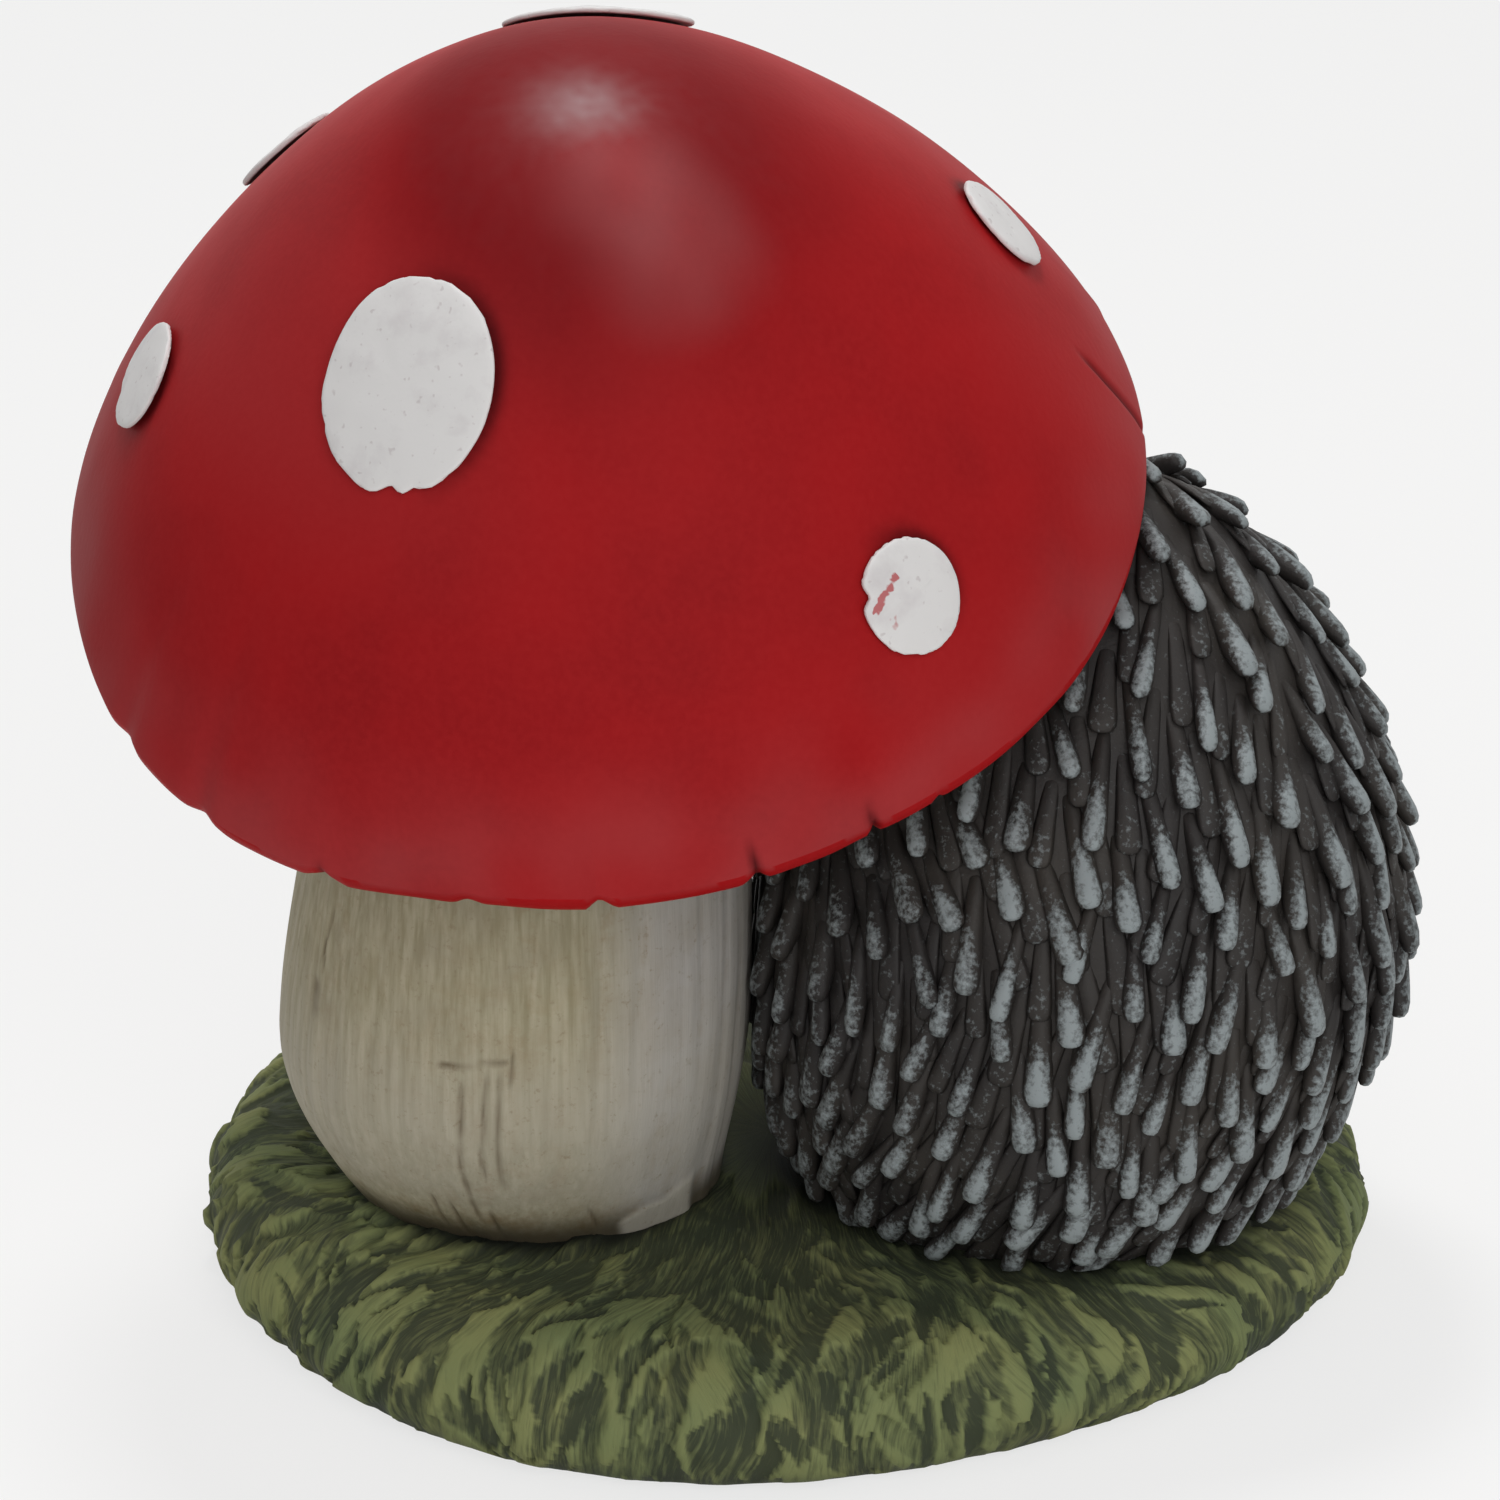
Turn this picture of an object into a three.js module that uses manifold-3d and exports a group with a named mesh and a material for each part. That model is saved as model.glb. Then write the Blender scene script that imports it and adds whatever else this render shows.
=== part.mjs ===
// Garden ornament: a hedgehog sitting beside a toadstool on an oval of grass.
// Cast resin pieces, pegged and glued together and then painted. Millimetres, +Z up.
// The hedgehog looks along +Y. The origin is the centre of the flat underside of the base.
import * as THREE from "three";
import { mergeVertices } from "three/addons/utils/BufferGeometryUtils.js";
import Module from "manifold-3d";

const wasm = await Module();
wasm.setup();

// Fits shared by every joint
const GLUE_GAP = 0.3;
const PEG_RADIUS = 9;
const PEG_LENGTH = 8;

// Grass base: an oval mound, widest a little above the ground
const BASE_WIDTH = 137;
const BASE_DEPTH = 117;
const BASE_THICKNESS = 15.5;
const BASE_LOBE = 2.3;
const BASE_LOBE_TURN = 15;
const BASE_FAR_SWELL = 7;
const BASE_FAR_TURN = 62;
const BASE_BULGE_HEIGHT = 5.6;
const BASE_TUCK = 5.6;
const BASE_SHOULDER = 13;
const TUFT_COUNT = 30;
const TUFT_HEIGHT = 0.9;
const TUFT_SLANT = 9;

// Toadstool stem: a barrel that leans to the right
const STEM_X = -31.7;
const STEM_Y = -10;
const STEM_RADIUS = 27.3;
const STEM_FOOT_RADIUS = 18.5;
const STEM_FOOT_SHIFT = 4.2;
const STEM_FOOT_WIDENING = 3;
const STEM_NECK_RADIUS = 21.5;
const STEM_BULGE_HEIGHT = 21;
const STEM_LEAN = 4.6;
const STEM_FACETS = 28;

// Toadstool cap: a bell of revolution, tilted towards -Y and rolled towards -X
const CAP_RADIUS = 61.5;
const CAP_HEIGHT = 61;
const CAP_SHOULDER = 1.24;
const CAP_CROWN = 1.28;
const CAP_CROWN_ROUND = 0.2;
const CAP_TILT = 22.8;
const CAP_ROLL = 5.6;
const CAP_OFFSET_X = 6.1;
const CAP_OFFSET_Y = 4;
const CAP_LIP = 4;
const CAP_RECESS = 11;
const CAP_CLEARANCE = 3.9;
const STEM_SOCKET = 6;
const CAP_FACETS = 36;

// Gills under the cap
const GILL_COUNT = 24;
const GILL_DEPTH = 2.6;
const GILL_INSET = 1.2;

// Raised white spots, each with its turn about the cap axis, share of the cap radius and own radius
const SPOT_THICKNESS = 1.3;
const LARGE_SPOT = 10.9;
const MIDDLE_SPOT = 8.2;
const SMALL_SPOT = 6.4;
const SPOTS = [
  { name: "spot_front_large", turn: 235, out: 0.5, radius: LARGE_SPOT, wander: 4.7 },
  { name: "spot_front_right", turn: 311, out: 0.835, radius: SMALL_SPOT, wander: 1.7 },
  { name: "spot_left", turn: 178.5, out: 0.795, radius: SMALL_SPOT, wander: 2.9 },
  { name: "spot_left_upper", turn: 134, out: 0.78, radius: SMALL_SPOT, wander: 4.1 },
  { name: "spot_apex", turn: 84, out: 0.6, radius: LARGE_SPOT, wander: 5.2 },
  { name: "spot_right_upper", turn: 16, out: 0.8, radius: SMALL_SPOT, wander: 0.9 },
  { name: "spot_far_large", turn: 90, out: 0.94, radius: MIDDLE_SPOT, wander: 2.2 },
  { name: "spot_far_left", turn: 118, out: 0.93, radius: SMALL_SPOT, wander: 3.4 },
  { name: "spot_far_right", turn: 63, out: 0.94, radius: SMALL_SPOT, wander: 4.8 },
];

// Hedgehog body: an egg standing on the grass, beside the stem
const BODY_WIDTH = 74.8;
const BODY_LENGTH = 75;
const BODY_HEIGHT = 85.3;
const BODY_WIDEST = 33;
const BODY_UNDERSIDE = 47;
const BODY_CROWN = 1.72;
const BODY_SIDE_GAP = 3;
const BODY_Y = 0.5;
const BODY_RUMP = 7;
const BODY_SWAY = 3.3;

// Spines: drop-shaped, narrow at the root, lying back over one another
const SPINE_COUNT = 430;
const SPINE_LENGTH = 13;
const SPINE_WIDTH = 3.6;
const SPINE_ROOT_WIDTH = 2;
const SPINE_CREST = 1.7;
const SPINE_SINK = 0.6;
const SPINE_TIP = 2.4;
const SPINE_SWEEP = 0.3;
const SPINE_SIDE_SWEEP = 1.6;
const SPINE_TOP_SWEEP = 0.6;
const SPINE_CLEARANCE = 0.8;
const HAIRLINE = 0.78;
const FOREHEAD_HAIRLINE = 0.85;

// Face
const SNOUT_REACH = 24;
const HEAD_RADIUS = 18.5;
const HEAD_HEIGHT = 49;
const SNOUT_RADIUS = 4.4;
const NOSE_RADIUS = 3.8;
const EYE_RADIUS = 2.6;
const EAR_RADIUS = 5.2;
const EAR_THICKNESS = 2.8;

// Belly, paws and feet
const BELLY_SWELL = 6;
const BELLY_WIDTH = 52;
const BELLY_HEIGHT = 46;
const PAW_RADIUS = 5.2;
const PAW_LENGTH = 19;
const PAW_HEIGHT = 24.5;
const FOOT_WIDTH = 14.5;
const FOOT_LENGTH = 23;
const FOOT_HEIGHT = 9;

// Values that follow from the sizes above
const DEGREE = Math.PI / 180;
const ROUND = 2 * Math.PI;
const GOLDEN_TURN = Math.PI * (3 - Math.sqrt(5));
const standing = BASE_THICKNESS + GLUE_GAP;
const bodyX = STEM_X + STEM_RADIUS + BODY_SIDE_GAP + BODY_WIDTH / 2;
const bodyCentre = new THREE.Vector3(0, 0, BODY_WIDEST);
const bodyTop = new THREE.Vector3(bodyX, BODY_Y, standing + BODY_HEIGHT);

// Colours of the painted resin
const paint = (color, roughness) => new THREE.MeshStandardMaterial({ color, roughness, metalness: 0 });

// Groups that place the castings on the base
const figure = new THREE.Group();
figure.name = "hedgehog_ornament";
const stemPlace = new THREE.Group();
const capPlace = new THREE.Group();
const bodyPlace = new THREE.Group();
figure.add(stemPlace, capPlace, bodyPlace);

stemPlace.position.set(STEM_X, STEM_Y, standing);
bodyPlace.position.set(bodyX, BODY_Y, standing);
capPlace.rotation.set(CAP_TILT * DEGREE, -CAP_ROLL * DEGREE, 0, "YXZ");

// The cap rides high enough for its lip to clear the hedgehog's back
const lean = Math.tan(STEM_LEAN * DEGREE);
const capAxis = new THREE.Vector3(0, 0, 1).applyEuler(capPlace.rotation);
const capY = STEM_Y + CAP_OFFSET_Y;
const capToBack = bodyTop.x - (STEM_X + CAP_OFFSET_X + lean * BODY_HEIGHT);
const backRise = (capAxis.x * capToBack + capAxis.y * (BODY_Y - capY)) / capAxis.z;
const capZ = bodyTop.z + CAP_CLEARANCE + CAP_LIP + backRise;
const capX = STEM_X + CAP_OFFSET_X + lean * (capZ - standing);
capPlace.position.set(capX, capY, capZ);
const stemLength = capZ - standing + STEM_SOCKET;
for (const place of [stemPlace, capPlace, bodyPlace]) {
  place.updateMatrix();
}

// Turns a closed geometry into a solid for joining and cutting
function solid(geometry) {
  const bare = new THREE.BufferGeometry();
  bare.setAttribute("position", geometry.getAttribute("position"));
  bare.setIndex(geometry.getIndex());
  const merged = mergeVertices(bare, 1e-4);
  const index = merged.getIndex().array;
  const kept = [];
  for (let i = 0; i < index.length; i += 3) {
    const [a, b, c] = [index[i], index[i + 1], index[i + 2]];
    if (a !== b && b !== c && c !== a) {
      kept.push(a, b, c);
    }
  }
  const mesh = new wasm.Mesh({
    numProp: 3,
    vertProperties: new Float32Array(merged.getAttribute("position").array),
    triVerts: new Uint32Array(kept),
  });
  return new wasm.Manifold(mesh);
}

// Turns a solid back into a named mesh inside the group that places it
function addPiece(place, name, body, material) {
  const mesh = body.getMesh();
  const geometry = new THREE.BufferGeometry();
  geometry.setAttribute("position", new THREE.BufferAttribute(new Float32Array(mesh.vertProperties), 3));
  geometry.setIndex(new THREE.BufferAttribute(new Uint32Array(mesh.triVerts), 1));
  geometry.computeVertexNormals();
  const piece = new THREE.Mesh(geometry, material);
  piece.name = name;
  place.add(piece);
}

// Moves a geometry from the frame of one group into the frame of another
function carried(geometry, from, to) {
  return geometry.clone().applyMatrix4(from.matrix).applyMatrix4(to.matrix.clone().invert());
}

// Skins a closed body over rings of points that run counterclockwise seen from the last ring
function loft(rings) {
  const count = rings[0].length;
  const points = rings.flat();
  const centres = [rings[0], rings[rings.length - 1]].map((ring) => {
    const sum = ring.reduce((total, point) => total.add(point), new THREE.Vector3());
    return sum.divideScalar(count);
  });
  const startCentre = points.length;
  const endCentre = startCentre + 1;
  const lastRing = (rings.length - 1) * count;
  const index = [];
  for (let i = 0; i < count; i += 1) {
    const next = (i + 1) % count;
    index.push(startCentre, next, i);
    index.push(endCentre, lastRing + i, lastRing + next);
    for (let row = 0; row < lastRing; row += count) {
      index.push(row + i, row + next, row + count + next);
      index.push(row + i, row + count + next, row + count + i);
    }
  }
  const geometry = new THREE.BufferGeometry().setFromPoints([...points, ...centres]);
  geometry.setIndex(index);
  return geometry;
}

// A level ring: the reach in each direction is given by a function of the angle
function levelRing(count, z, reach) {
  return Array.from({ length: count }, (_, i) => {
    const angle = (ROUND * i) / count;
    const { x, y } = reach(angle);
    return new THREE.Vector3(x, y, z);
  });
}

// A level circle about a centre that may stand off the axis
function circle(count, z, radius, centreX = 0) {
  return levelRing(count, z, (angle) => ({
    x: centreX + radius * Math.cos(angle),
    y: radius * Math.sin(angle),
  }));
}

// A ball stretched to three half sizes and set on its centre
function ellipsoid(halfX, halfY, halfZ, centre, columns = 20, rows = 12) {
  const ball = new THREE.SphereGeometry(1, columns, rows).rotateX(Math.PI / 2);
  return ball.scale(halfX, halfY, halfZ).translate(centre.x, centre.y, centre.z);
}

// Everything at or above the ground of a casting, so that it sits flat on the grass
function aboveGround(body) {
  const reach = 4 * BODY_HEIGHT;
  const ground = new THREE.BoxGeometry(reach, reach, reach).translate(0, 0, -reach / 2);
  return body.subtract(solid(ground));
}

// Peg below a casting, or the socket for it when it is given extra room
function peg(extra) {
  const radius = PEG_RADIUS + extra;
  const tool = new THREE.CylinderGeometry(radius, radius, PEG_LENGTH + 1 + extra, 28);
  return tool.rotateX(Math.PI / 2).translate(0, 0, (1 - PEG_LENGTH - extra) / 2);
}

// Grass base
function baseReach(angle, inset) {
  const mean = (BASE_WIDTH + BASE_DEPTH) / 4;
  const oval = ((BASE_WIDTH - BASE_DEPTH) / 4) * Math.cos(2 * angle);
  const lobes = BASE_LOBE * Math.cos(3 * (angle - BASE_LOBE_TURN * DEGREE));
  const towardsFeet = Math.max(0, Math.cos(angle - BASE_FAR_TURN * DEGREE));
  const reach = mean + oval + lobes + BASE_FAR_SWELL * Math.pow(towardsFeet, 4) - inset;
  return { x: reach * Math.cos(angle), y: reach * Math.sin(angle) };
}

// Grass tufts: crests and dips by turns round the mound, unevenly spaced, leaning over as they rise
function tuftRing(z, inset, rise, relief) {
  return Array.from({ length: 2 * TUFT_COUNT }, (_, i) => {
    const uneven = 0.18 * Math.sin(2.4 * i) + 0.6 * Math.sin(0.5 * i);
    const slant = TUFT_SLANT * DEGREE * rise * Math.sin((ROUND * i) / TUFT_COUNT + 1);
    const angle = (Math.PI * (i + uneven * Math.sin((Math.PI * i) / (2 * TUFT_COUNT)))) / TUFT_COUNT + slant;
    const height = i % 2 ? 0 : TUFT_HEIGHT * (0.8 + 0.3 * Math.sin(1.9 * i));
    const { x, y } = baseReach(angle, inset - relief * height);
    return new THREE.Vector3(x, y, z + rise * relief * height);
  });
}

function grassBase() {
  const rings = [];
  for (const share of [0, 0.5, 1]) {
    const swing = (Math.PI / 2) * share;
    const inset = BASE_TUCK * (1 - Math.sin(swing));
    rings.push(tuftRing(BASE_BULGE_HEIGHT * (1 - Math.cos(swing)), inset, 0, share));
  }
  for (const share of [0.25, 0.5, 0.75, 1]) {
    const swing = (Math.PI / 2) * share;
    const inset = BASE_SHOULDER * (1 - Math.cos(swing));
    const z = BASE_BULGE_HEIGHT + (BASE_THICKNESS - BASE_BULGE_HEIGHT) * Math.sin(swing);
    rings.push(tuftRing(z, inset, share, share < 1 ? 1 : 0));
  }
  const mound = solid(loft(rings));
  const upright = new THREE.Group();
  const sockets = [stemPlace, bodyPlace].map((place) => solid(carried(peg(GLUE_GAP), place, upright)));
  return sockets.reduce((body, socket) => body.subtract(socket), mound);
}

// Stem
function stemRadius(z) {
  if (z < STEM_BULGE_HEIGHT) {
    const swell = Math.sin((Math.PI / 2) * (z / STEM_BULGE_HEIGHT));
    return STEM_FOOT_RADIUS + (STEM_RADIUS - STEM_FOOT_RADIUS) * swell;
  }
  const rise = (z - STEM_BULGE_HEIGHT) / (stemLength - STEM_BULGE_HEIGHT);
  const taper = (1 + Math.cos(Math.PI * rise)) / 2;
  return STEM_NECK_RADIUS + (STEM_RADIUS - STEM_NECK_RADIUS) * taper;
}

// The foot is broader than it is deep and stands out towards the hedgehog
function stemRing(z, extra) {
  const foot = Math.pow(Math.max(0, 1 - z / STEM_BULGE_HEIGHT), 2);
  const depth = stemRadius(z) + extra;
  return levelRing(STEM_FACETS, z, (angle) => ({
    x: lean * z + STEM_FOOT_SHIFT * foot + (depth + STEM_FOOT_WIDENING * foot) * Math.cos(angle),
    y: depth * Math.sin(angle),
  }));
}

function stemForm(extra) {
  const steps = 9;
  const rings = Array.from({ length: steps + 1 }, (_, i) => {
    const z = stemLength * Math.pow(i / steps, 1.3);
    return stemRing(z, extra);
  });
  if (extra > 0) {
    rings.push(circle(STEM_FACETS, stemLength + extra, STEM_NECK_RADIUS + extra, lean * stemLength));
  }
  return loft(rings);
}

// Cap: half profile from the top of the recess, out round the lip and up over the crown
function crownHeight(share) {
  const rounded = (value) => Math.hypot(value, CAP_CROWN_ROUND) - CAP_CROWN_ROUND;
  const fall = Math.min(1, rounded(share) / rounded(1));
  return CAP_HEIGHT * Math.pow(1 - Math.pow(fall, CAP_CROWN), 1 / CAP_SHOULDER);
}

const recessRadius = CAP_RADIUS - 2 * CAP_LIP;

function capProfile() {
  const rows = 12;
  const crown = Array.from({ length: rows + 1 }, (_, i) => {
    const share = Math.sin((Math.PI / 2) * (i / rows));
    return new THREE.Vector2(CAP_RADIUS * share, crownHeight(share));
  });
  const lipSteps = 5;
  const lip = Array.from({ length: lipSteps }, (_, i) => {
    const swing = Math.PI * ((i + 1) / lipSteps);
    return new THREE.Vector2(CAP_RADIUS - CAP_LIP + CAP_LIP * Math.cos(swing), -CAP_LIP * Math.sin(swing));
  });
  return [...crown, ...lip, new THREE.Vector2(0, CAP_RECESS)].reverse();
}

function revolve(profile, around) {
  return new THREE.LatheGeometry(profile, around).rotateX(Math.PI / 2);
}

function stemInCap() {
  return solid(carried(stemForm(GLUE_GAP), stemPlace, capPlace));
}

function mushroomCap() {
  return solid(revolve(capProfile(), CAP_FACETS)).subtract(stemInCap());
}

// Gills: a cone that fills the recess, its underside folded into radial ribs
function capGills() {
  const around = 2 * GILL_COUNT;
  const outer = recessRadius - GLUE_GAP;
  const ceiling = (radius) => CAP_RECESS * (1 - radius / recessRadius) - GLUE_GAP;
  const folded = (radius, fold) => {
    const ring = circle(around, ceiling(radius) - GILL_INSET, radius);
    ring.forEach((point, i) => {
      point.z -= i % 2 ? fold : 0;
    });
    return ring;
  };
  const rings = [
    folded(STEM_FOOT_RADIUS / 2, GILL_DEPTH),
    folded(outer * 0.75, GILL_DEPTH),
    folded(outer, GILL_DEPTH / 2),
    circle(around, ceiling(outer), outer),
    circle(around, ceiling(STEM_FOOT_RADIUS / 2), STEM_FOOT_RADIUS / 2),
  ];
  return solid(loft(rings)).subtract(stemInCap());
}

// Sampled crown profile with outward normals, for laying spots on the cap
const crownSamples = Array.from({ length: 400 }, (_, i) => {
  const share = Math.sin((Math.PI / 2) * ((i + 0.5) / 400));
  const step = 1e-6;
  const slope = (crownHeight(share + step) - crownHeight(share - step)) / (2 * step * CAP_RADIUS);
  const normal = new THREE.Vector2(-slope, 1).normalize();
  return { r: CAP_RADIUS * share, z: crownHeight(share), normal };
});

// The point of the cap nearest to a given one, raised along the surface normal
function onCap(point, raise) {
  const radius = Math.hypot(point.x, point.y);
  let best = crownSamples[0];
  let bestGap = Infinity;
  for (const sample of crownSamples) {
    const gap = Math.hypot(sample.r - radius, sample.z - point.z);
    if (gap < bestGap) {
      bestGap = gap;
      best = sample;
    }
  }
  const turn = Math.atan2(point.y, point.x);
  const reach = best.r + best.normal.x * raise;
  const z = best.z + best.normal.y * raise;
  return new THREE.Vector3(reach * Math.cos(turn), reach * Math.sin(turn), z);
}

function capSpot(spot) {
  const around = 12;
  const turn = spot.turn * DEGREE;
  const r = CAP_RADIUS * spot.out;
  const seat = new THREE.Vector3(r * Math.cos(turn), r * Math.sin(turn), crownHeight(spot.out));
  const normal = onCap(seat, 1).sub(onCap(seat, 0));
  const east = new THREE.Vector3(-Math.sin(turn), Math.cos(turn), 0);
  const north = new THREE.Vector3().crossVectors(normal, east).normalize();
  const ring = (share, raise) =>
    Array.from({ length: around }, (_, i) => {
      const angle = (ROUND * i) / around;
      const wander = 0.07 * Math.sin(2 * angle + spot.wander) + 0.05 * Math.sin(3 * angle + 2 * spot.wander);
      const reach = spot.radius * share * (1 + wander);
      const point = seat.clone();
      point.addScaledVector(east, reach * Math.cos(angle));
      point.addScaledVector(north, reach * Math.sin(angle));
      return onCap(point, raise);
    });
  const floor = 2 * GLUE_GAP;
  const rings = [
    ring(0.5, floor),
    ring(0.94, floor),
    ring(1, floor + SPOT_THICKNESS * 0.45),
    ring(0.9, floor + SPOT_THICKNESS * 0.85),
    ring(0.5, floor + SPOT_THICKNESS),
  ];
  return solid(loft(rings));
}

// The rump sits back and sideways: the body leans towards -Y all the way down, and below its widest
// part towards the stem
const rumpSlope = BODY_RUMP / BODY_HEIGHT;
const swaySlope = BODY_SWAY / BODY_WIDEST;

function rumpShift(z) {
  return new THREE.Vector3(swaySlope * Math.min(0, z - BODY_WIDEST), rumpSlope * (z - BODY_HEIGHT), 0);
}

// Hedgehog body: an egg whose upper half is drawn out higher than its lower half
function bodyForm(extra) {
  const around = 24;
  const rows = 7;
  const upper = BODY_HEIGHT - BODY_WIDEST + extra;
  const lower = BODY_UNDERSIDE + extra;
  const rings = [];
  for (let i = -4; i < rows; i += 1) {
    const swing = (Math.PI / 2) * (i / rows);
    const floorSwing = -Math.asin(BODY_WIDEST / lower);
    const held = i < 0 ? floorSwing * (i / -4) : swing;
    const share = Math.sin(held);
    const z = BODY_WIDEST + (i < 0 ? lower : upper) * share;
    const shrink = i < 0 ? Math.cos(held) : Math.pow(1 - Math.pow(share, BODY_CROWN), 1 / BODY_CROWN);
    rings.push(
      levelRing(around, z, (angle) => ({
        x: rumpShift(z).x + (BODY_WIDTH / 2 + extra) * shrink * Math.cos(angle),
        y: rumpShift(z).y + (BODY_LENGTH / 2 + extra) * shrink * Math.sin(angle),
      })),
    );
  }
  rings.push(circle(around, BODY_WIDEST + upper, 0.5));
  return loft(rings);
}

// Point and outward normal of the body where a direction from its centre leaves it
function onBody(direction) {
  const above = direction.z > 0;
  const drawn = above ? BODY_HEIGHT - BODY_WIDEST : BODY_UNDERSIDE;
  const power = above ? BODY_CROWN : 2;
  const half = new THREE.Vector3(BODY_WIDTH / 2, BODY_LENGTH / 2, drawn);
  const unit = direction.clone().divide(half);
  const level = Math.hypot(unit.x, unit.y);
  const size = Math.pow(Math.pow(level, power) + Math.pow(Math.abs(unit.z), power), 1 / power);
  const share = unit.divideScalar(size);
  const point = direction.clone().divideScalar(size).add(bodyCentre);
  point.add(rumpShift(point.z));
  const flank = Math.pow(Math.max(level / size, 1e-6), power - 2);
  const rise = Math.sign(share.z) * Math.pow(Math.abs(share.z), power - 1);
  const normal = new THREE.Vector3(flank * share.x, flank * share.y, rise).divide(half);
  normal.z -= rumpSlope * normal.y + (above ? 0 : swaySlope * normal.x);
  normal.normalize();
  return { point, normal, share };
}

// One spine: a ridge that widens from its root over the skin and lifts to a free tip
function spineForm(point, flow) {
  const station = (reach, width, edge, crest) => {
    const ahead = point.clone().addScaledVector(flow, reach);
    ahead.sub(rumpShift(ahead.z)).sub(bodyCentre);
    const { point: seat, normal } = onBody(ahead);
    const side = new THREE.Vector3().crossVectors(normal, flow).setLength(width / 2);
    const low = seat.clone().addScaledVector(normal, edge);
    return [low.clone().sub(side), low.clone().add(side), seat.clone().addScaledVector(normal, crest)];
  };
  return loft([
    station(0, SPINE_ROOT_WIDTH, -2 * SPINE_SINK, -SPINE_SINK),
    station(SPINE_LENGTH * 0.7, SPINE_WIDTH, -SPINE_SINK, SPINE_CREST),
    station(SPINE_LENGTH, 0, SPINE_TIP, SPINE_TIP),
  ]);
}

// Crossing spines can shut in a small pocket; the casting is solid there, so only the outer skin stays
function outerSkin(body) {
  const skins = body.decompose();
  return skins.reduce((largest, skin) => (skin.volume() > largest.volume() ? skin : largest));
}

// Everything that the spines stay clear of
function spineNeighbours() {
  const forms = [headForm(SPINE_CLEARANCE), bellyForm(SPINE_CLEARANCE)];
  forms.push(carried(stemForm(SPINE_CLEARANCE), stemPlace, bodyPlace));
  forms.push(carried(revolve(capProfile(), CAP_FACETS), capPlace, bodyPlace));
  for (const side of [-1, 1]) {
    forms.push(pawForm(side, SPINE_CLEARANCE), footForm(side, SPINE_CLEARANCE));
    forms.push(earForm(side, SPINE_CLEARANCE));
  }
  return wasm.Manifold.union(forms.map(solid));
}

// Spines flow away from a point above the forehead and sweep towards the stem low on the rump
function spineFlow(point, normal, share) {
  const source = new THREE.Vector3(0, 0.36 * BODY_LENGTH, 1.12 * BODY_HEIGHT);
  const flow = point.clone().sub(source).normalize();
  const low = Math.max(0, 1 - (1.6 * point.z) / BODY_HEIGHT);
  const high = Math.min(1, Math.max(0, (5 * point.z) / BODY_HEIGHT - 2));
  const left = Math.min(1, Math.max(0, (-2.5 * point.x) / BODY_WIDTH));
  const sweep = SPINE_TOP_SWEEP * high * left - (SPINE_SWEEP + SPINE_SIDE_SWEEP * left) * low;
  flow.x += sweep * Math.max(0, -share.y);
  return flow.addScaledVector(normal, -flow.dot(normal)).normalize();
}

// Direction from the body's centre at a tilt away from the forehead and a turn about it
const forehead = new THREE.Vector3(0, 0.5, 0.87).normalize();
const toForehead = new THREE.Quaternion().setFromUnitVectors(new THREE.Vector3(0, 0, 1), forehead);

function fromForehead(tilt, turn) {
  const girth = Math.sin(tilt);
  const direction = new THREE.Vector3(girth * Math.cos(turn), girth * Math.sin(turn), Math.cos(tilt));
  return direction.applyQuaternion(toForehead);
}

// Tilts that part the body's surface into bands of equal area, one for each spine
function spineTilts() {
  const steps = 120;
  const turns = 24;
  const covered = [0];
  for (let i = 0; i < steps; i += 1) {
    const tilt = (Math.PI * (i + 0.5)) / steps;
    let area = 0;
    for (let j = 0; j < turns; j += 1) {
      const direction = fromForehead(tilt, (ROUND * j) / turns);
      const { point, normal } = onBody(direction);
      const reach = point.sub(rumpShift(point.z)).distanceTo(bodyCentre);
      area += (reach * reach * Math.sin(tilt)) / normal.dot(direction);
    }
    covered.push(covered[i] + area);
  }
  return Array.from({ length: SPINE_COUNT }, (_, i) => {
    const wanted = (covered[steps] * (i + 0.5)) / SPINE_COUNT;
    const step = covered.findIndex((area) => area > wanted) - 1;
    const part = (wanted - covered[step]) / (covered[step + 1] - covered[step]);
    return (Math.PI * (step + part)) / steps;
  });
}

// Spines spiral out from the forehead at even spacing
function spineCoat() {
  const neighbours = spineNeighbours();
  const pieces = [solid(bodyForm(0)), solid(peg(0))];
  for (const [i, tilt] of spineTilts().entries()) {
    const { point, normal, share } = onBody(fromForehead(tilt, GOLDEN_TURN * i));
    const bareFront = share.y > HAIRLINE + (FOREHEAD_HAIRLINE - HAIRLINE) * Math.max(0, share.z);
    const flow = spineFlow(point, normal, share);
    const clearOfGrass = Math.min(point.z, point.z + flow.z * SPINE_LENGTH) > SPINE_TIP / 2;
    const spine = solid(spineForm(point, flow));
    if (!bareFront && clearOfGrass && spine.intersect(neighbours).isEmpty()) {
      pieces.push(spine);
    }
  }
  return outerSkin(wasm.Manifold.union(pieces));
}

// Head: rings set across the snout line, drawn in from the cheeks to the nose
const faceY = onBody(new THREE.Vector3(0, BODY_LENGTH / 2, HEAD_HEIGHT - BODY_WIDEST)).point.y;
const snoutTip = new THREE.Vector3(0, faceY + SNOUT_REACH, HEAD_HEIGHT + 1.5);

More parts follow.
